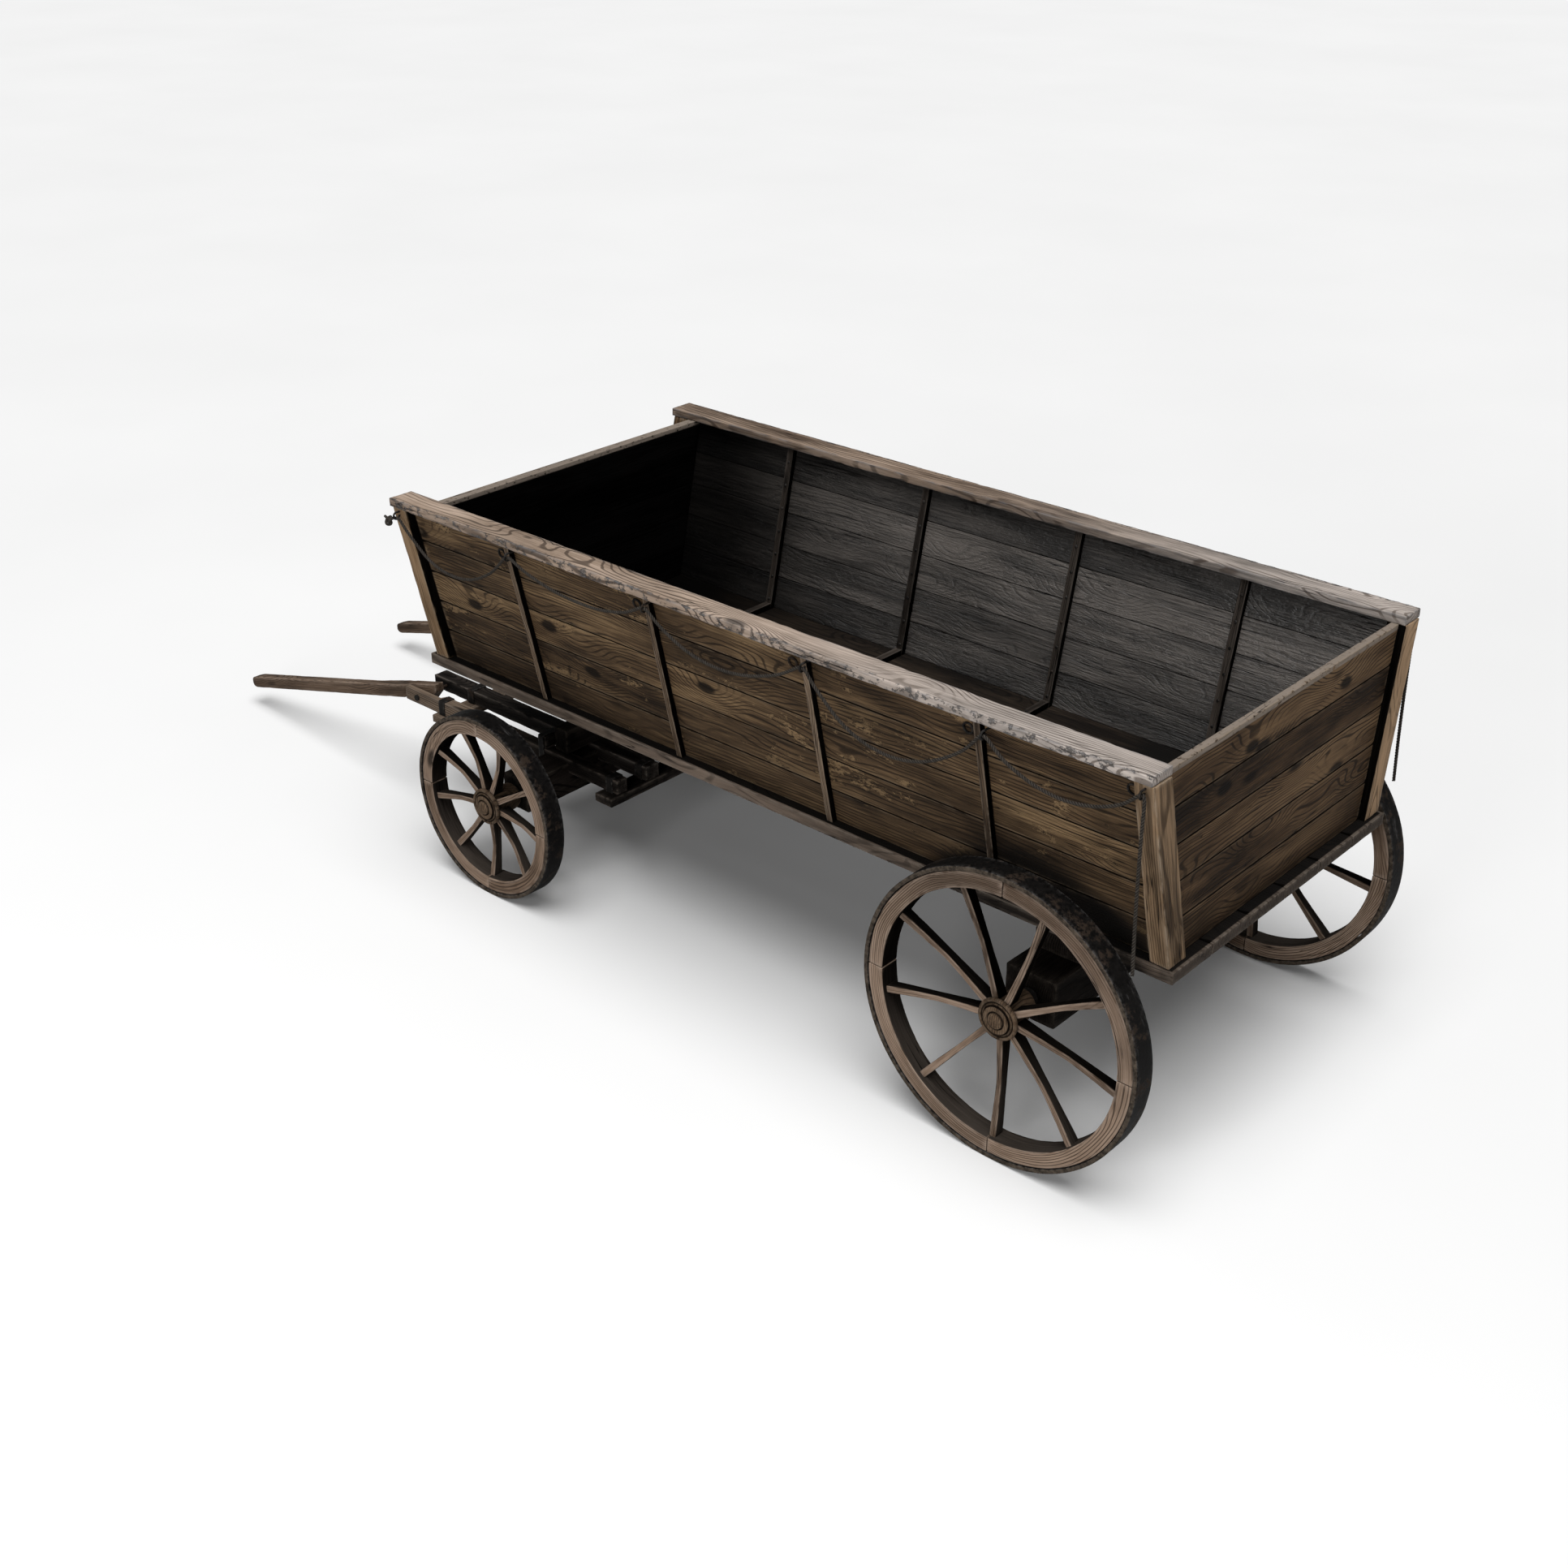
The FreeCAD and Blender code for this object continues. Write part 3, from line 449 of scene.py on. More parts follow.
MATERIALS = {
    "wall": wood(
        "wall_wood", (0.013, 0.008, 0.0046), (0.055, 0.034, 0.018), (0.145, 0.095, 0.05),
        (0.13, 0.098, 0.066), inner=(0.033, 0.0288, 0.0255), patches=1.0, darker_heights=(0.86, 1.24),
        seam=0.98, shaded=SHADE_X, knots=WALL_KNOTS, wheel_shadow=(REAR_HUB, 0.50, 0.62)),
    "end": wood(
        "end_wood", (0.0095, 0.0055, 0.003), (0.041, 0.024, 0.0125), (0.096, 0.06, 0.032),
        (0.12, 0.09, 0.06), inner=(0.001, 0.0009, 0.0009), patches=0.3, darker_heights=(0.86, 1.12),
        seam=0.98, knots=TAIL_KNOTS, stretch=(1.0, 0.55, 1.0), crest=(1.5875, (0.155, 0.128, 0.106))),
    "floor": wood(
        "floor_wood", (0.0035, 0.0024, 0.0017), (0.015, 0.0105, 0.0072), (0.034, 0.025, 0.018),
        (0.1, 0.083, 0.068), ledge=(0.052, 0.039, 0.03), seam=0.9, shaded=SHADE_X,
        wheel_shadow=(REAR_HUB, 0.47, 0.62)),
    "rib": wood(
        "rib_wood", (0.005, 0.0037, 0.0029), (0.018, 0.014, 0.0112), (0.04, 0.033, 0.028),
        (0.05, 0.043, 0.037), inner=(0.0012, 0.0011, 0.001), lines=150.0),
    "rail": wood(
        "rail_wood", (0.05, 0.034, 0.024), (0.16, 0.118, 0.088), (0.25, 0.192, 0.15),
        (0.08, 0.08, 0.084), lines=52.0, stain=0.25, painted_light=(-0.6, -2.3, (0.205, 0.18, 0.162)),
        arris=(0.836, 0.856)),
    "post": wood(
        "post_wood", (0.026, 0.015, 0.0075), (0.095, 0.058, 0.03), (0.18, 0.118, 0.068),
        (0.21, 0.165, 0.12), inner=(0.0012, 0.001, 0.0008), lines=90.0, stain=0.35,
        painted_light=(-1.0, -2.0, (0.17, 0.112, 0.066))),
    "stake": wood(
        "stake_wood", (0.016, 0.01, 0.006), (0.056, 0.037, 0.023), (0.115, 0.082, 0.056),
        (0.15, 0.118, 0.09), inner=(0.001, 0.0008, 0.0007), lines=110.0, stain=0.4,
        darker_heights=(0.86, 1.10)),
    "fore": wood(
        "fore_wood", *GREY_WOOD, (0.085, 0.07, 0.058), gloss=0.03, lines=110.0,
        painted_light=(0.50, 0.90, (0.09, 0.066, 0.048))),
    "frame": wood("frame_wood", *GREY_WOOD, (0.085, 0.073, 0.063), gloss=0.03, lines=110.0),
    "shaft": wood(
        "shaft_wood", (0.019, 0.012, 0.008), (0.064, 0.042, 0.028), (0.12, 0.085, 0.062),
        (0.15, 0.115, 0.09), lines=110.0, stain=0.3),
    "wheel": wood(
        "wheel_wood", (0.03, 0.019, 0.012), (0.11, 0.074, 0.051), (0.2, 0.145, 0.108),
        (0.22, 0.17, 0.135), inner=(0.0022, 0.0018, 0.0015), lines=110.0, stain=0.35,
        darker_heights=(1.20, 0.35), lit=(0.55, 0.18, 7.5)),
    "nave": wood(
        "nave_wood", (0.012, 0.0072, 0.0042), (0.044, 0.0275, 0.016), (0.085, 0.056, 0.035),
        (0.12, 0.088, 0.062), inner=(0.0016, 0.0013, 0.0011), lines=110.0, stain=0.35),
    # painted shade: the bolsters, axle blocks and floor bearers under the box are made near black
    "under": wood(
        "under_wood", (0.0014, 0.0011, 0.0009), (0.0045, 0.0034, 0.0027), (0.012, 0.0095, 0.008),
        (0.03, 0.025, 0.02), stain=0.6, gloss=0.02, lines=110.0),
    "strap": iron(
        "strap_iron", (0.0022, 0.002, 0.0019), (0.011, 0.01, 0.0092), (0.015, 0.01, 0.0072),
        (0.05, 0.047, 0.044)),
    "tyre": iron(
        "tyre_iron", (0.0011, 0.001, 0.001), (0.0046, 0.0041, 0.0038), (0.017, 0.012, 0.0088),
        (0.055, 0.053, 0.052), side=(0.034, 0.0265, 0.02)),
    "rope": rope_fibre("rope_fibre"),
    "floor_stage": pale_floor(),
}

# ------------------------------------------------------------------ meshes
TABLE = np.random.default_rng(11).random(8192)
KEYS = np.array([73856093, 19349663, 83492791])     # primes that spread places over the table


def unit(rows):
    return rows / np.linalg.norm(rows, axis=-1, keepdims=True)


def lengths(path):
    """Distance gone along a path at each of its points."""
    return np.concatenate([[0], np.cumsum(np.linalg.norm(np.diff(path, axis=0), axis=1))])


def noise3(points, seed=0):
    """Smooth value noise from 0 to 1 at each point."""
    cell = np.floor(points).astype(np.int64)
    part = points - cell
    part = part * part * (3.0 - 2.0 * part)
    total = np.zeros(len(points))
    for corner in np.ndindex(2, 2, 2):
        key = np.bitwise_xor.reduce((cell + corner) * KEYS, axis=1) ^ (seed * 2654435)
        total += TABLE[key & 8191] * np.where(corner, part, 1 - part).prod(1)
    return total


def stations(length, step, edge):
    """Places along one side of a block, closer together beside its ends."""
    edge = min(edge, 0.3 * length)
    count = max(2, round((length - 2 * edge) / step) + 1)
    inside = np.linspace(edge, length - edge, count)
    return np.concatenate([[0.0, 0.4 * edge], inside, [length - 0.4 * edge, length]])


def shell(axes, closed):
    """The surface of a grid of places: (n, 3) points and the quads between them."""
    counts = [len(a) for a in axes]
    keys = []
    for n in range(3):
        if closed and n == 0:
            continue
        p, q = (n + 1) % 3, (n + 2) % 3
        for end in (0, counts[n] - 1):
            rows = counts[p] + (closed and p == 0)
            columns = counts[q] + (closed and q == 0)
            i, j = np.meshgrid(np.arange(rows), np.arange(columns), indexing="ij")
            index = [None, None, None]
            index[n] = np.full(i.shape, end)
            index[p] = i % counts[p]
            index[q] = j % counts[q]
            key = (index[0] * counts[1] + index[1]) * counts[2] + index[2]
            quads = np.stack([key[:-1, :-1], key[1:, :-1], key[1:, 1:], key[:-1, 1:]], -1).reshape(-1, 4)
            keys.append(quads if end else quads[:, ::-1])
    unique, faces = np.unique(np.concatenate(keys), return_inverse=True)
    points = np.stack([axes[0][unique // (counts[1] * counts[2])],
                       axes[1][unique // counts[2] % counts[1]],
                       axes[2][unique % counts[2]]], -1)
    return points, faces.reshape(-1, 4)


def block(shape, size, step, edge, seed, chips=0.0, bow=0.0008, closed=False, dark=None):
    """Worn block. shape takes (n, 3) local places in metres, along the grain, across it and
    through it, to the frame. A closed block runs round in a ring along its grain. dark gives
    how far the faces towards (low, high) of across are marked as inner ones, for painted shade."""
    axes = [stations(size[k], step[k], edge) for k in range(3)]
    if closed:
        axes[0] = np.arange(round(size[0] / step[0])) * size[0] / round(size[0] / step[0])
    local, faces = shell(axes, closed)
    size = np.asarray(size, float)
    shift = np.random.default_rng(seed).random(3) * 40.0
    texture = local + shift
    if closed:
        turn = local[:, 0] / size[0] * math.tau
        around = size[0] / math.tau
        texture = np.stack([np.cos(turn) * around, np.sin(turn) * around, local[:, 1] * 3 + local[:, 2]], -1)
        texture = texture + shift
    room = np.minimum(local, size - local)
    if closed:
        room[:, 0] = 1.0
    near_edge = np.sort(room, 1)[:, 1]
    radius = edge * (0.55 + 0.6 * noise3(texture * 9.0, seed))
    if chips:
        radius = radius + chips * np.clip(noise3(texture * 21.0, seed + 1) * 2.4 - 1.35, 0, 1)
        radius = radius + 0.5 * chips * np.clip(noise3(texture * 55.0, seed + 2) * 2.4 - 1.3, 0, 1)
    sides = size[1:] if closed else size
    radius = np.minimum(radius, 0.47 * sides.min())[:, None]
    core = np.clip(local, radius, size - radius)
    if closed:
        core[:, 0] = local[:, 0]
    out = local - core
    reach = np.maximum(np.linalg.norm(out, axis=1, keepdims=True), 1e-9)
    normal = out / reach
    sink = bow * noise3(texture * (6.0 if closed else 2.5), seed + 3)
    sink = sink + 0.25 * bow * noise3(texture * np.array([6.0, 60.0, 60.0]), seed + 4)
    local = core + normal * (np.minimum(radius, reach) - sink[:, None])
    wear = np.exp(-near_edge / (1.2 * edge + 0.001))
    # inside marks the inner faces, which the wood finishes paint with painted shade and the tyre iron with
    # its side colour
    inside = np.zeros(len(local))
    if dark:
        inside = dark[0] * np.clip(-normal[:, 1], 0, 1) ** 2 + dark[1] * np.clip(normal[:, 1], 0, 1) ** 2
    tone = np.full(len(local), np.random.default_rng(seed + 5).random())
    finish = np.stack([wear, inside, tone], -1)
    return {"verts": shape(local), "faces": faces, "grain": local + shift, "finish": finish}


def lathe(shape, outline, count, seed, rings=()):
    """Turned piece from (radius, place along the axis) points; shape takes (radius, angle, place).
    rings gives the (radius, half width) of grooves in its outer face, marked for painted shade."""
    r, y = np.array(outline).T
    grid_r = np.repeat(r, count)
    grid_a = np.tile(np.arange(count) / count * math.tau, len(r))
    grid_y = np.repeat(y, count)
    ring = np.arange(count)
    after = (ring + 1) % count
    faces = []
    for low in range(0, (len(r) - 1) * count, count):
        high = low + count
        faces.append(np.stack([low + ring, low + after, high + after, high + ring], -1))
    # painted shade: the grooves are marked as inner faces, which the nave wood paints near black
    groove_shade = np.zeros(len(r))
    in_face = y > y.max() - 0.022
    for middle, half in rings:
        groove_shade = np.maximum(groove_shade, np.clip(1.5 * (half - np.abs(r - middle)) / half, 0, 1) * in_face)
    rubbed = np.zeros(len(r))
    for i in range(1, len(r) - 1):
        a = np.array([r[i] - r[i - 1], y[i] - y[i - 1]])
        b = np.array([r[i + 1] - r[i], y[i + 1] - y[i]])
        turn = abs(a[0] * b[1] - a[1] * b[0]) / (np.linalg.norm(a) * np.linalg.norm(b) + 1e-9)
        rubbed[i] = 0.8 * min(1.0, turn)
    tone = np.full(len(grid_r), np.random.default_rng(seed).random())
    shift = np.random.default_rng(seed + 1).random(3) * 40.0
    grain = np.stack([grid_y, grid_r * np.cos(grid_a), grid_r * np.sin(grid_a)], -1) + shift
    finish = np.stack([np.repeat(rubbed, count), np.repeat(groove_shade, count), tone], -1)
    return {"verts": shape(grid_r, grid_a, grid_y), "faces": np.concatenate(faces), "grain": grain,
            "finish": finish}


def tube(path, radius, sides=10, seed=0, closed=False):
    """Round rod along (n, 3) points."""
    path = np.asarray(path, float)
    ahead = np.roll(path, -1, 0) - np.roll(path, 1, 0) if closed else np.gradient(path, axis=0)
    ahead = unit(ahead)
    side = np.zeros_like(path)
    side[0] = unit(np.cross(ahead[0], [0.31, 0.87, 0.38]))
    for i in range(1, len(path)):
        side[i] = unit(side[i - 1] - ahead[i] * np.dot(side[i - 1], ahead[i]))
    up = np.cross(ahead, side)
    angle = np.arange(sides) / sides * math.tau
    ring = np.cos(angle)[None, :, None] * side[:, None] + np.sin(angle)[None, :, None] * up[:, None]
    verts = (path[:, None] + ring * radius).reshape(-1, 3)
    index = np.arange(len(path) * sides).reshape(-1, sides)
    rows = np.concatenate([index, index[:1]]) if closed else index
    a, b = rows[:-1], rows[1:]
    faces = np.stack([a, np.roll(a, -1, 1), np.roll(b, -1, 1), b], -1).reshape(-1, 4)
    gone = lengths(path)
    along = np.repeat(gone, sides)
    around = np.tile(angle * 0.004, len(path))
    ends = []
    if not closed:
        verts = np.concatenate([verts, path[:1], path[-1:]])
        first, last = len(verts) - 2, len(verts) - 1
        for k in range(sides):
            ends.append([index[0, (k + 1) % sides], index[0, k], first])
            ends.append([index[-1, k], index[-1, (k + 1) % sides], last])
        along = np.concatenate([along, [0, gone[-1]]])
        around = np.concatenate([around, [0, 0]])
    grain = np.stack([along, around, np.full(len(along), seed * 1.7)], -1)
    finish = np.tile([0.25, 0.0, 0.5], (len(verts), 1))
    return {"verts": verts, "faces": faces, "ends": ends, "grain": grain, "finish": finish}


def outward(part):
    """The part with its faces turned to point out of it."""
    v, f = part["verts"], part["faces"]
    a, b, c, d = (v[f[:, k]] for k in range(4))
    volume = (a * np.cross(b, c)).sum() + (a * np.cross(c, d)).sum()
    if volume < 0:
        part["faces"] = f[:, ::-1]
        part["ends"] = [face[::-1] for face in part.get("ends", [])]
    return part


def piece(name, parts, look, body, *nodes):
    """One mesh object from its parts, riding on a body and standing for the CAD nodes."""
    verts, faces, grain, finish = [], [], [], []
    start = 0
    for part in map(outward, parts):
        verts.append(part["verts"])
        faces += (part["faces"] + start).tolist()
        faces += [[k + start for k in face] for face in part.get("ends", [])]
        grain.append(part["grain"])
        finish.append(part["finish"])
        start += len(part["verts"])
    mesh = bpy.data.meshes.new(name)
    mesh.from_pydata(np.concatenate(verts).tolist(), [], faces)
    for key, rows in (("grain", grain), ("finish", finish)):
        layer = mesh.attributes.new(key, "FLOAT_VECTOR", "POINT")
        layer.data.foreach_set("vector", np.concatenate(rows).astype(np.float32).ravel())
    mesh.polygons.foreach_set("use_smooth", [True] * len(mesh.polygons))
    mesh.materials.append(MATERIALS[look])
    made = bpy.data.objects.new(name, mesh)
    bpy.context.scene.collection.objects.link(made)
    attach(made, body)
    if nodes:
        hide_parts(*nodes)
    return made


# ------------------------------------------------------------------ shapes read from the frame
def solids(node):
    """Points of each separate solid of a CAD node."""
    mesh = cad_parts[node].data
    co = np.empty(len(mesh.vertices) * 3)
    mesh.vertices.foreach_get("co", co)
    co = co.reshape(-1, 3)
    edges = np.empty(len(mesh.edges) * 2, dtype=np.int64)
    mesh.edges.foreach_get("vertices", edges)
    _, first, same = np.unique(np.round(co, 4), axis=0, return_index=True, return_inverse=True)
    a, b = same.ravel()[edges.reshape(-1, 2)].T
    label = np.arange(len(first))
    while True:
        low = np.minimum(label[a], label[b])
        before = label.copy()
        np.minimum.at(label, a, low)
        np.minimum.at(label, b, low)
        if (before == label).all():
            break
    return [co[first[label == k]] for k in np.unique(label)]


def corners(points, order):
    """The corners of a six-sided solid as [z][x][y], turned to [along][across][through] by order."""
    low_to_high = points[np.argsort(points[:, 2], kind="stable")]
    grid = np.empty((2, 2, 2, 3))
    for i in (0, 1):
        layer = low_to_high[4 * i:4 * i + 4]
        layer = layer[np.argsort(layer[:, 0], kind="stable")]
        for j in (0, 1):
            pair = layer[2 * j:2 * j + 2]
            grid[i, j] = pair[np.argsort(pair[:, 1], kind="stable")]
    return grid.transpose(*order, 3)


def box_points(node):
    low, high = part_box(node)
    return np.array([[x, y, z] for x in (low.x, high.x) for y in (low.y, high.y) for z in (low.z, high.z)])


def side_of_centre(node):
    """Smallest and largest distance of a node from the middle plane of the wagon."""
    low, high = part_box(node)
    return sorted((abs(low.y), abs(high.y)))


ALONG_X = (1, 0, 2)         # along X, across Z, through Y
ALONG_X_FLAT = (1, 2, 0)    # along X, across Y, through Z
ALONG_Y = (2, 0, 1)         # along Y, across Z, through X
ALONG_Y_FLAT = (2, 1, 0)    # along Y, across X, through Z
ALONG_Z = (0, 1, 2)         # along Z, across X, through Y


def timber(points, order, step, edge, seed, grow=0.0, **options):
    """Worn timber between the eight corners of a CAD solid. Planks side by side grow into
    each other, so that no light shows between them."""
    c = corners(points, order)
    if grow:
        wider = unit(c[:, 1] - c[:, 0]) * grow
        c = np.stack([c[:, 0] - wider, c[:, 1] + wider], 1)
    size = [np.linalg.norm(np.diff(c, axis=k), axis=-1).mean() for k in range(3)]

    def shape(local):
        t = local / size
        return sum(np.where(at, t, 1 - t).prod(1)[:, None] * c[at] for at in np.ndindex(2, 2, 2))
    return block(shape, size, step, edge, seed, **options)


# ------------------------------------------------------------------ the box of the wagon
WALL_SLOPE = 0.2199         # how far the side walls lean out for each metre up
TAIL_SLOPE = 0.0397
PLANK_EDGE = 0.0028
PLANK_GROW = 0.0018
INNER_BLEND = 0.016         # over this thickness a plank's look goes from outer to inner


def side_walls():
    for side, sign in SIDES:
        node = "side_planks_" + side
        parts = []
        for k, points in enumerate(solids(node)):
            part = timber(points, ALONG_X, (0.03, 0.008, 0.014), PLANK_EDGE, 20 + 10 * (sign > 0) + k,
                          grow=PLANK_GROW, bow=0.0016)
            _, y, z = points.mean(0)
            proud = np.abs(part["verts"][:, 1]) - abs(y) - (part["verts"][:, 2] - z) * WALL_SLOPE
            # marks the planks' inner faces, which take the inside's greyer colour, partly painted shade
            part["finish"][:, 1] = np.clip(0.5 - proud / INNER_BLEND, 0, 1)
            parts.append(part)
        piece(node + "_wood", parts, "wall", "wagon_body", node)


def end_walls():
    for node, inward, slope in (("tailboard_planks", 1, TAIL_SLOPE), ("headboard_planks", -1, 0.0)):
        parts = []
        for k, points in enumerate(solids(node)):
            part = timber(points, ALONG_Y, (0.016, 0.008, 0.014), PLANK_EDGE, 50 + k + 7 * inward,
                          grow=PLANK_GROW, bow=0.0014)
            x, _, z = points.mean(0)
            ahead = part["verts"][:, 0] - x - (part["verts"][:, 2] - z) * slope
            # marks the boards' inner faces, which are painted near black as shade
            part["finish"][:, 1] = np.clip(0.5 + inward * ahead / INNER_BLEND, 0, 1)
            parts.append(part)
        piece(node + "_wood", parts, "end", "wagon_body", node)


def floor():
    parts = [timber(points, ALONG_X_FLAT, (0.04, 0.012, 0.012), 0.003, 70 + k, chips=0.002, bow=0.0012)
             for k, points in enumerate(solids("floor_boards"))]
    piece("floor_boards_wood", parts, "floor", "wagon_body", "floor_boards")
    parts = [timber(points, ALONG_Y_FLAT, (0.03, 0.015, 0.015), 0.005, 80 + k)
             for k, points in enumerate(solids("floor_bearers"))]
    piece("floor_bearers_wood", parts, "under", "wagon_body", "floor_bearers")


def darken_inner_side(part, points):
    """Marks the side of a leaning post that is nearest the middle of the wagon, for painted shade."""
    middle = points[:, 2].mean()
    foot, top = points[points[:, 2] < middle], points[points[:, 2] >= middle]
    nearest = [np.abs(foot[:, 1]).min(), np.abs(top[:, 1]).min()]
    inner = np.interp(part["verts"][:, 2], (points[:, 2].min(), points[:, 2].max()), nearest)
    part["finish"][:, 1] = np.clip(1.4 - (np.abs(part["verts"][:, 1]) - inner) / 0.004, 0, 1)


DARK_REAR = (1.0, 0.3)      # painted shade marks for an upright timber's rear and front sides


def rails_and_posts():
    for side, sign in SIDES:
        node = "cap_rail_" + side
        part = timber(solids(node)[0], ALONG_X_FLAT, (0.009, 0.006, 0.006), 0.0038, 90 + sign,
                      chips=0.006, bow=0.0016)
        piece(node + "_wood", [part], "rail", "wagon_body", node)
    for node, dark in (("rear_posts", None), ("front_posts", DARK_REAR)):
        parts = []
        for k, points in enumerate(solids(node)):
            part = timber(points, ALONG_Z, (0.01, 0.008, 0.008), 0.0038, 100 + k + len(node),
                          chips=0.004, bow=0.0016, dark=dark)
            if node == "rear_posts":
                darken_inner_side(part, points)
            parts.append(part)
        piece(node + "_wood", parts, "post", "wagon_body", node)
    parts = [timber(points, ALONG_Z, (0.012, 0.006, 0.006), 0.0025, 110 + k, chips=0.003, dark=DARK_REAR)
             for k, points in enumerate(solids("side_stakes"))]
    piece("side_stakes_wood", parts, "stake", "wagon_body", "side_stakes")
    parts = []
    for k, points in enumerate(solids("inner_ribs")):
        lies_across = np.ptp(points[:, 1]) > 1.0
        parts.append(timber(points, ALONG_Y_FLAT if lies_across else ALONG_Z, (0.012, 0.007, 0.007),
                            0.002, 400 + k, chips=0.003, dark=DARK_REAR))
    piece("inner_ribs_wood", parts, "rib", "wagon_body", "inner_ribs")


# ------------------------------------------------------------------ wheels
SPOKES = 9
SPOKE_PHASE = math.radians(29.0)
SPOKE_HALF = 0.014
SPOKE_DEPTH = 0.05
SPOKE_FRONT = (0.868, 0.866, 0.884)     # distance from the middle plane at the nave, middle and rim
SPOKE_BACK = (0.814, 0.824, 0.838)
SPOKE_IN = 0.004                        # how far a spoke's ends stand in the nave and the rim
TYRE_T = 0.018
TYRE_GAP = 0.0003          # between the tyre and the rim
TYRE_STEPS = {"rear": 168, "front": 132}
FELLOES = 4
FELLOE_H = 0.062
FELLOE_GAP = 0.0008
NAVE_R = 0.066
# marks both across sides as inner faces; on the spokes and felloes these take painted shade
ALL_DARK = (1.0, 1.0)

# Outlines as (radius, place along the axle). The nave's first points count from its inner end,
# and all the others from its face.
NAVE_BODY = [(0.0222, 0.0), (0.047, 0.0), (0.051, 0.002), (0.054, 0.007), (0.0575, 0.020),
             (0.060, 0.040), (0.0630, 0.052), (0.0655, 0.064)]
NAVE_FLANGE = [(0.0658, -0.018), (0.0662, -0.0165), (0.0745, -0.0160), (0.0775, -0.0145),
               (0.0788, -0.0120), (0.0788, -0.0050), (0.0775, -0.0022), (0.0745, -0.0004),
               (0.0690, 0.0), (0.0665, -0.0030), (0.0640, -0.0036), (0.0615, -0.0030), (0.0590, 0.0),
               (0.0540, 0.0), (0.0400, 0.0), (0.0400, -0.018), (0.0222, -0.018)]
NAVE_RINGS = [(0.0540, 0.006), (0.0640, 0.004)]
CAP = [(0.0, 0.0), (0.0515, 0.0), (0.0520, 0.0015), (0.0520, 0.0045), (0.0505, 0.0070),
       (0.0480, 0.0080), (0.0370, 0.0080), (0.0348, 0.0072), (0.0336, 0.0045), (0.0320, 0.0035),
       (0.0302, 0.0040), (0.0296, 0.0090), (0.0285, 0.0118), (0.0260, 0.0136), (0.0210, 0.0153),
       (0.0120, 0.0165), (0.0, 0.0169)]
CAP_RINGS = [(0.0320, 0.0045), (0.0530, 0.003)]


def wheel(place, side, sign):
    name = place + "_" + side + "_"
    body = name + "wheel"
    low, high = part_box(name + "tyre")
    cx, cz = (low.x + high.x) / 2, (low.z + high.z) / 2
    seed = 200 + 50 * (place == "rear") + 20 * (sign > 0)

    def at(radius, angle, y):
        return np.stack([cx + radius * np.cos(angle), sign * y, cz + radius * np.sin(angle)], -1)

    inner = (high.z - low.z) / 2 - TYRE_T
    ring = math.tau * inner
    tyre_y, tyre_out = side_of_centre(name + "tyre")
    width = tyre_out - tyre_y
    tyre = block(lambda p: at(inner + p[:, 2], p[:, 0] / inner, tyre_y + p[:, 1]),
                 (ring, width, TYRE_T), (ring / TYRE_STEPS[place], 0.008, 0.006), 0.0035, seed,
                 chips=0.002, bow=0.0012, closed=True, dark=ALL_DARK)
    piece(name + "tyre_iron", [tyre], "tyre", body, name + "tyre")

    y0, y1 = side_of_centre(name + "felloes")
    outer = inner - TYRE_GAP
    rim = outer - FELLOE_H
    mid = outer - FELLOE_H / 2
    gap = FELLOE_GAP / outer
    span = math.tau / FELLOES - 2 * gap
    parts = []
    for k in range(FELLOES):
        start = k * math.tau / FELLOES + gap
        parts.append(block(lambda p: at(rim + p[:, 1], start + p[:, 0] / mid, y0 + p[:, 2]),
                           (span * mid, FELLOE_H, y1 - y0), (0.016, 0.007, 0.010), 0.0045, seed + k,
                           chips=0.003, bow=0.0014, dark=ALL_DARK))
    piece(name + "felloes_wood", parts, "wheel", body, name + "felloes")

    foot = NAVE_R - SPOKE_IN
    length = rim + SPOKE_IN - foot
    parts = []
    for k in range(SPOKES):
        angle = SPOKE_PHASE + k * math.tau / SPOKES

        def shape(p):
            t = p[:, 0] / length
            waist = 1.0 - 0.20 * np.sin(np.pi * np.clip(t * 1.1, 0, 1)) ** 1.5
            front = np.interp(t, (0, 0.5, 1), SPOKE_FRONT) - 0.008 * np.sin(np.pi * t)
            back = np.interp(t, (0, 0.5, 1), SPOKE_BACK)
            across = (p[:, 1] - SPOKE_HALF) * waist
            radial = foot + p[:, 0]
            x = radial * np.cos(angle) - across * np.sin(angle)
            y = back + (front - back) * p[:, 2] / SPOKE_DEPTH
            z = radial * np.sin(angle) + across * np.cos(angle)
            return np.stack([cx + x, sign * y, cz + z], -1)
        parts.append(block(shape, (length, 2 * SPOKE_HALF, SPOKE_DEPTH), (0.014, 0.005, 0.007), 0.0040,
                           seed + 30 + k, chips=0.002, bow=0.0010, dark=ALL_DARK))
    piece(name + "spokes_wood", parts, "wheel", body, name + "spokes")

    back, face = side_of_centre(name + "nave")
    outline = [(r, back + y) for r, y in NAVE_BODY] + [(r, face + y) for r, y in NAVE_FLANGE]
    turned = lathe(at, outline + [(NAVE_BODY[0][0], back)], 64, seed + 41, NAVE_RINGS)
    piece(name + "nave_wood", [turned], "nave", body, name + "nave")
    turned = lathe(at, [(r, face + y) for r, y in CAP], 56, seed + 42, CAP_RINGS)
    piece(name + "nave_cap_wood", [turned], "nave", body, name + "nave_cap")


# ------------------------------------------------------------------ running gear and frame
CHEEK_X = 2.105 - MID_X     # in front of this the outer frame bars are thinned for the shafts
CHEEK_Y = 0.454
BAR_STEP = (0.012, 0.007, 0.007)


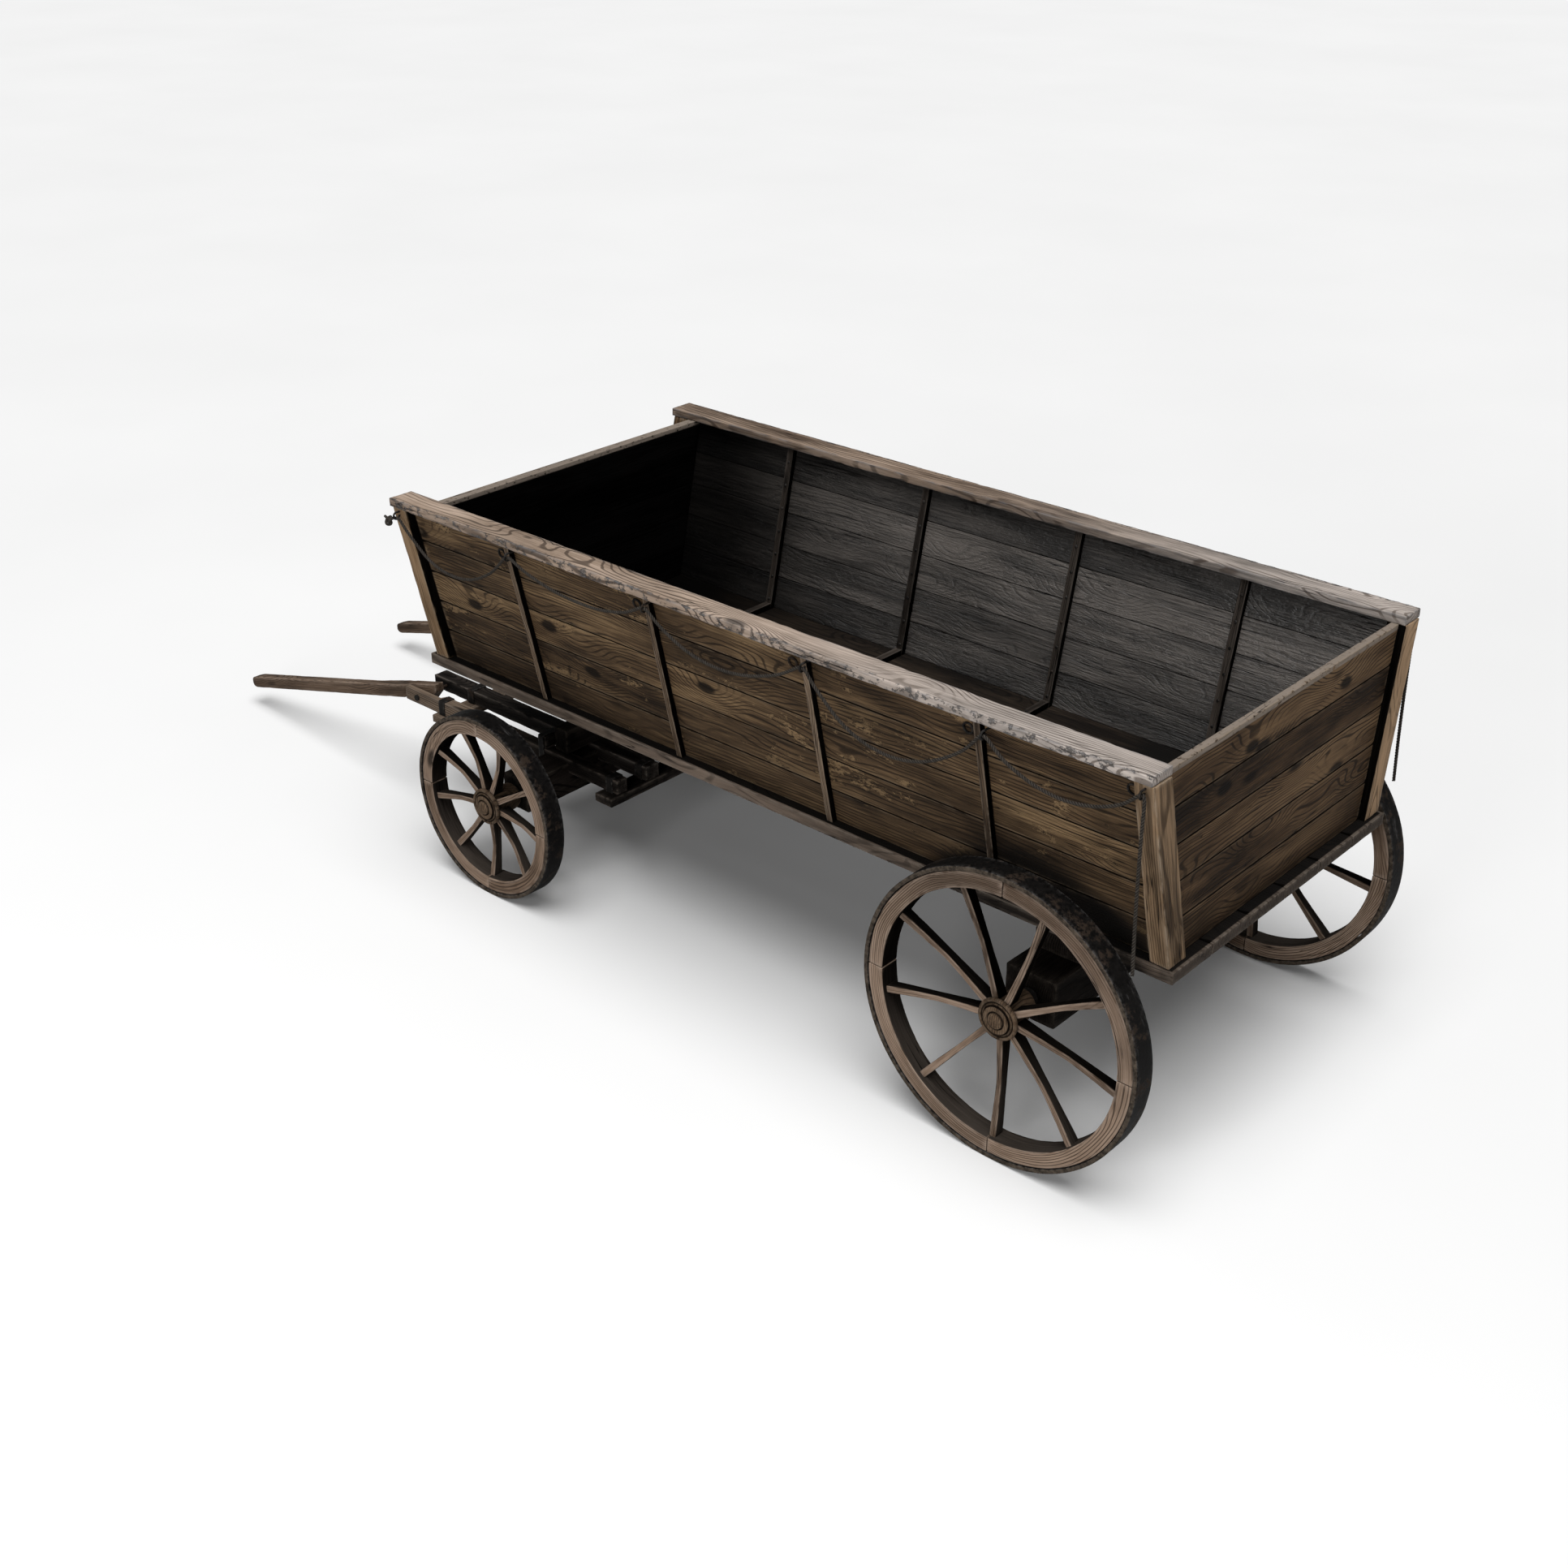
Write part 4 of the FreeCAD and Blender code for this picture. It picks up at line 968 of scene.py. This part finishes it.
def running_gear():
    for body, nodes in (("wagon_body", ("rear_axle_block", "rear_bolster", "body_bolster")),
                        ("front_carriage", ("front_bolster", "front_axle_block"))):
        for k, node in enumerate(nodes):
            part = timber(box_points(node), ALONG_Y_FLAT, (0.02, 0.014, 0.014), 0.005, 300 + 10 * k,
                          chips=0.005, bow=0.002)
            piece(node + "_wood", [part], "under", body, node)
    for node in ("frame_side_bar_left", "frame_side_bar_right"):
        piece(node + "_wood", [cheeked(node, 330 + len(node))], "fore", "front_carriage", node)
    for node in ("frame_inner_bar_left", "frame_inner_bar_right"):
        part = timber(box_points(node), ALONG_X, BAR_STEP, 0.004, 330 + len(node), chips=0.004, bow=0.0016)
        piece(node + "_wood", [part], "frame", "front_carriage", node)
    for node in ("frame_front_plank", "frame_rear_plank", "frame_middle_bar"):
        part = timber(box_points(node), ALONG_Y_FLAT, (0.014, 0.008, 0.008), 0.004, 350 + len(node),
                      chips=0.004)
        piece(node + "_wood", [part], "fore", "front_carriage", node)


def cheeked(node, seed):
    """Outer frame bar, thinned on its inner side where the shaft's tongue lies beside it."""
    low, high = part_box(node)
    sign = 1 if low.y > 0 else -1
    inner, outer = side_of_centre(node)
    size = (high.x - low.x, high.z - low.z, outer - inner)

    def shape(p):
        x = low.x + p[:, 0]
        from_y = np.where(x > CHEEK_X, CHEEK_Y, inner)
        y = from_y + (outer - from_y) * p[:, 2] / size[2]
        return np.stack([x, sign * y, low.z + p[:, 1]], -1)
    return block(shape, size, BAR_STEP, 0.004, seed, chips=0.004, bow=0.0016)


# The left shaft's edges as (x from the rails' middle, height or distance from the middle plane).
SHAFT_TOP = [(2.155, 0.550), (3.572, 0.160), (3.615, 0.142), (3.633, 0.124)]
SHAFT_LOW = [(2.155, 0.508), (2.215, 0.437), (2.345, 0.435), (3.585, 0.097), (3.622, 0.100), (3.633, 0.108)]
SHAFT_OUTER = [(2.150, 0.451), (2.344, 0.451), (2.346, 0.484), (3.600, 0.484), (3.633, 0.471)]
SHAFT_INNER = [(2.150, 0.400), (2.400, 0.400), (2.600, 0.429), (3.600, 0.429), (3.633, 0.442)]


def shafts():
    low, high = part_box("draft_shaft_left")
    size = (high.x - low.x, 0.07, 0.055)

    def edge_at(line, x):
        return np.interp(x, [p[0] - MID_X for p in line], [p[1] for p in line])
    for side, sign in SIDES:
        def shape(p):
            x = low.x + p[:, 0]
            bottom, top = edge_at(SHAFT_LOW, x), edge_at(SHAFT_TOP, x)
            inner, outer = edge_at(SHAFT_INNER, x), edge_at(SHAFT_OUTER, x)
            z = bottom + (top - bottom) * p[:, 1] / size[1]
            y = inner + (outer - inner) * p[:, 2] / size[2]
            return np.stack([x, sign * y, z], -1)
        part = block(shape, size, BAR_STEP, 0.006, 370 + sign, chips=0.004, bow=0.0016)
        node = "draft_shaft_" + side
        piece(node + "_wood", [part], "shaft", node, node)


# ------------------------------------------------------------------ ironwork
STRAP_T = 0.004
HOOK_R = 0.014
HOOK_ROD = 0.004
HOOK_WIDE = 0.03            # a ring wider than this along X is an eye that lies against the wall


def dense(path, step):
    """The path with evenly spaced points."""
    gone = lengths(path)
    at = np.linspace(0, gone[-1], max(2, round(gone[-1] / step) + 1))
    return np.stack([np.interp(at, gone, path[:, k]) for k in range(3)], -1)


def rounded(points, radius, turns=5):
    """A path through points with its corners rounded."""
    points = [np.asarray(p, float) for p in points]
    path = [points[0]]
    for before, here, after in zip(points, points[1:], points[2:]):
        a, b = unit(before - here), unit(after - here)
        for k in range(turns + 1):
            t = k / turns
            path.append(here + a * radius * (1 - t) ** 2 + b * radius * t ** 2)
    path.append(points[-1])
    return np.array(path)


def bent_strip(path, width, seed, axis):
    """Flat iron strip along path, whose width lies along the given axis."""
    gone = lengths(path)
    axis = np.asarray(axis, float)
    out = np.cross(unit(np.gradient(path, axis=0)), axis)

    def shape(p):
        centre = np.stack([np.interp(p[:, 0], gone, path[:, k]) for k in range(3)], -1)
        normal = unit(np.stack([np.interp(p[:, 0], gone, out[:, k]) for k in range(3)], -1))
        return centre + axis * (p[:, 1] - width / 2)[:, None] + normal * p[:, 2][:, None]
    return block(shape, (gone[-1], width, STRAP_T), (0.012, 0.007, 0.003), 0.0012, seed, chips=0.0015)


def nail_head(points, seed):
    """Hammered dome on the disc of a CAD nail head."""
    centre = points.mean(0)
    spread = points - centre
    axis = np.linalg.svd(spread, full_matrices=False)[2][2]
    inward = np.array([0.0, -centre[1], 0.6])
    axis = axis if np.dot(axis, inward) > 0 else -axis
    radius = np.linalg.norm(spread - np.outer(spread @ axis, axis), axis=1).max()
    height = (spread @ axis).max()
    a = unit(np.cross(axis, (1.0, 0.0, 0.0)))
    b = np.cross(axis, a)
    squash = 0.85 + 0.2 * np.random.default_rng(seed).random()
    outline = [(radius, -height), (radius, -0.3 * height), (0.85 * radius, 0.45 * height),
               (0.5 * radius, 0.9 * height * squash), (0.0, height * squash)]

    def shape(r, angle, y):
        r = r * (1 - 0.10 * np.abs(np.sin(angle * 2.5 + seed)))
        return centre + np.outer(r * np.cos(angle), a) + np.outer(r * np.sin(angle), b) + np.outer(y, axis)
    return lathe(shape, outline, 12, seed)


def rope_eye(points, seed):
    """Round ring on the middle circle of a CAD ring that lies against the wall."""
    low, high = points.min(0), points.max(0)
    centre = (low + high) / 2
    radius = (high[0] - low[0]) / 2 - HOOK_ROD
    reach = (high[2] - low[2]) / 2 - HOOK_ROD
    lean = math.copysign(math.sqrt(max(radius ** 2 - reach ** 2, 0.0)), centre[1])
    turn = np.linspace(0, math.tau, 40, endpoint=False)
    ring = np.stack([radius * np.cos(turn), lean * np.sin(turn), reach * np.sin(turn)], -1)
    return tube(centre + ring, HOOK_ROD, 10, seed, closed=True)


def rope_hook(points, seed):
    """Iron rod that comes out of the wall and turns back down in a ring."""
    x = points[:, 0].mean()
    sign = 1 if points[0, 1] > 0 else -1
    top = points[:, 2].max() - HOOK_ROD
    foot = np.abs(points[:, 1]).min()
    middle_y = np.abs(points[:, 1]).max() - HOOK_ROD - HOOK_R
    path = [(x, sign * (foot - 0.004), top)]
    for i in range(19):
        a = math.radians(90 - 15 * i)
        path.append((x, sign * (middle_y + HOOK_R * math.cos(a)), top - HOOK_R + HOOK_R * math.sin(a)))
    return tube(dense(np.array(path), 0.003), HOOK_ROD, 10, seed)


def ironwork():
    parts = [nail_head(points, 430 + k) for k, points in enumerate(solids("rib_nails"))]
    piece("rib_nails_iron", parts, "strap", "wagon_body", "rib_nails")
    parts = []
    for k, points in enumerate(solids("frame_straps")):
        x = points[:, 0].mean()
        (y0, z0), (y1, z1) = points[:, 1:].min(0), points[:, 1:].max(0)
        line = [(x, y0, z0), (x, y0, z1), (x, y1, z1), (x, y1, z0)]
        path = dense(rounded(line, 0.006, 4), 0.006)
        parts.append(bent_strip(path, np.ptp(points[:, 0]), 460 + k, (1.0, 0.0, 0.0)))
    piece("frame_straps_iron", parts, "strap", "front_carriage", "frame_straps")
    parts = []
    for k, points in enumerate(solids("rope_hooks")):
        make = rope_eye if np.ptp(points[:, 0]) > HOOK_WIDE else rope_hook
        parts.append(make(points, k))
    piece("rope_hooks_iron", parts, "strap", "wagon_body", "rope_hooks")


# ------------------------------------------------------------------ ropes
ROPE_D = 0.012
ROPE_PITCH = 0.034
STRAND_SIDES = 10
# The left rope's route (x from the rails' middle, z) in the plane of the hooks, from the knot
# at the front hook to the hanging end. Each hook's point stands high enough to clear its rod.
ROPE_ROUTE = [
    (1.805, 1.537), (1.7503, 1.5795), (1.700, 1.527),
    (1.660, 1.497), (1.560, 1.424), (1.440, 1.398), (1.310, 1.410), (1.190, 1.470),
    (1.130, 1.525), (1.0784, 1.5805), (1.015, 1.550),
    (0.960, 1.532), (0.840, 1.505), (0.710, 1.494), (0.580, 1.496), (0.450, 1.520),
    (0.395, 1.545), (0.3323, 1.5805), (0.280, 1.540),
    (0.225, 1.508), (0.115, 1.462), (-0.015, 1.444), (-0.150, 1.454), (-0.290, 1.498),
    (-0.360, 1.534), (-0.4286, 1.5820), (-0.470, 1.530),
    (-0.515, 1.490), (-0.600, 1.420), (-0.710, 1.376), (-0.840, 1.366), (-0.970, 1.400), (-1.085, 1.470),
    (-1.140, 1.522), (-1.1837, 1.5825), (-1.235, 1.536),
    (-1.285, 1.502), (-1.390, 1.464), (-1.500, 1.452), (-1.610, 1.470), (-1.705, 1.512),
    (-1.750, 1.554), (-1.7704, 1.5740), (-1.7840, 1.5640),
    (-1.783, 1.470), (-1.785, 1.340), (-1.7885, 1.205), (-1.7935, 1.070), (-1.800, 0.945),
]


def spline_points(route, step):
    """Evenly spaced points of the NURBS spline whose control points are the route's."""
    curve = bpy.data.curves.new("route", "CURVE")
    curve.dimensions = "3D"
    curve.resolution_u = 24
    line = curve.splines.new("NURBS")
    line.points.add(len(route) - 1)
    for point, place in zip(line.points, route):
        point.co = (*place, 1.0)
    line.order_u = 3
    line.use_endpoint_u = True
    holder = bpy.data.objects.new("route", curve)
    mesh = bpy.data.meshes.new_from_object(holder)
    points = np.array([v.co[:] for v in mesh.vertices])
    bpy.data.objects.remove(holder)
    bpy.data.curves.remove(curve)
    bpy.data.meshes.remove(mesh)
    return dense(points, step)


def strands(path, side_axis, seed):
    """Three twisted strands round a path."""
    ahead = unit(np.gradient(path, axis=0))
    side = unit(np.cross(ahead, side_axis))
    other = np.cross(ahead, side)
    gone = lengths(path)
    thick = 0.268 * ROPE_D
    away = 0.54 * ROPE_D - thick
    middle = np.concatenate([np.repeat(path, STRAND_SIDES, 0), path[:1], path[-1:]])
    parts = []
    for k in range(3):
        turn = gone / ROPE_PITCH * math.tau + k * math.tau / 3
        centre = path + away * (np.cos(turn)[:, None] * side + np.sin(turn)[:, None] * other)
        strand = tube(centre, thick, STRAND_SIDES, seed + k)
        # painted shade: the faces nearest the rope's middle, between the strands, are marked for darkening
        from_middle = np.linalg.norm(strand["verts"] - middle, axis=1) / ROPE_D
        strand["finish"][:, 1] = np.clip((0.51 - from_middle) / 0.12, 0, 1)
        parts.append(strand)
    return parts


def rope_knot(side, start):
    """Overhand knot that holds the rope's front end at the first hook."""
    t = np.linspace(0, math.tau, 150, endpoint=False)
    size = 0.0085
    x = size * (np.sin(t) + 2 * np.sin(2 * t))
    y = -size * 0.75 * np.sin(3 * t)
    z = size * (np.cos(t) - 2 * np.cos(2 * t))
    path = np.stack([start[0] + 0.002 + 0.8 * x, start[1] + y, start[2] + 0.004 + 0.8 * z], -1)
    return piece("rope_knot_" + side, [tube(path, 0.0056, 10, 3, closed=True)], "rope", "wagon_body")


def ropes():
    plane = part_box("rope_hooks")[1].y - HOOK_ROD - HOOK_R
    for side, sign in SIDES:
        route = [(x - MID_X, sign * plane, z) for x, z in ROPE_ROUTE]
        path = spline_points(route, 0.0045)
        node = "rope_" + side
        made = piece(node + "_strands", strands(path, (0.0, 1.0, 0.0), 10), "rope", "wagon_body", node)
        knot = rope_knot(side, route[0])
        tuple(route[0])


# ------------------------------------------------------------------ stage and carried-over CAD nodes
def make_stage():
    half = 90.0
    square = [(-half, -half, 0), (half, -half, 0), (half, half, 0), (-half, half, 0)]
    mesh = bpy.data.meshes.new("ground")
    mesh.from_pydata(square, [], [(0, 1, 2, 3)])
    mesh.materials.append(MATERIALS["floor_stage"])
    ground = bpy.data.objects.new("ground", mesh)
    bpy.context.scene.collection.objects.link(ground)


def finish_carried_nodes():
    """Gives the CAD nodes that still show a finish of their own."""
    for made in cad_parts.values():
        if not made.hide_render:
            for slot in made.material_slots:
                slot.material = MATERIALS["strap"]


make_camera()
ropes()
make_light()
make_stage()
side_walls()
end_walls()
floor()
rails_and_posts()
for place in ("rear", "front"):
    for side, sign in SIDES:
        wheel(place, side, sign)
running_gear()
shafts()
ironwork()
finish_carried_nodes()
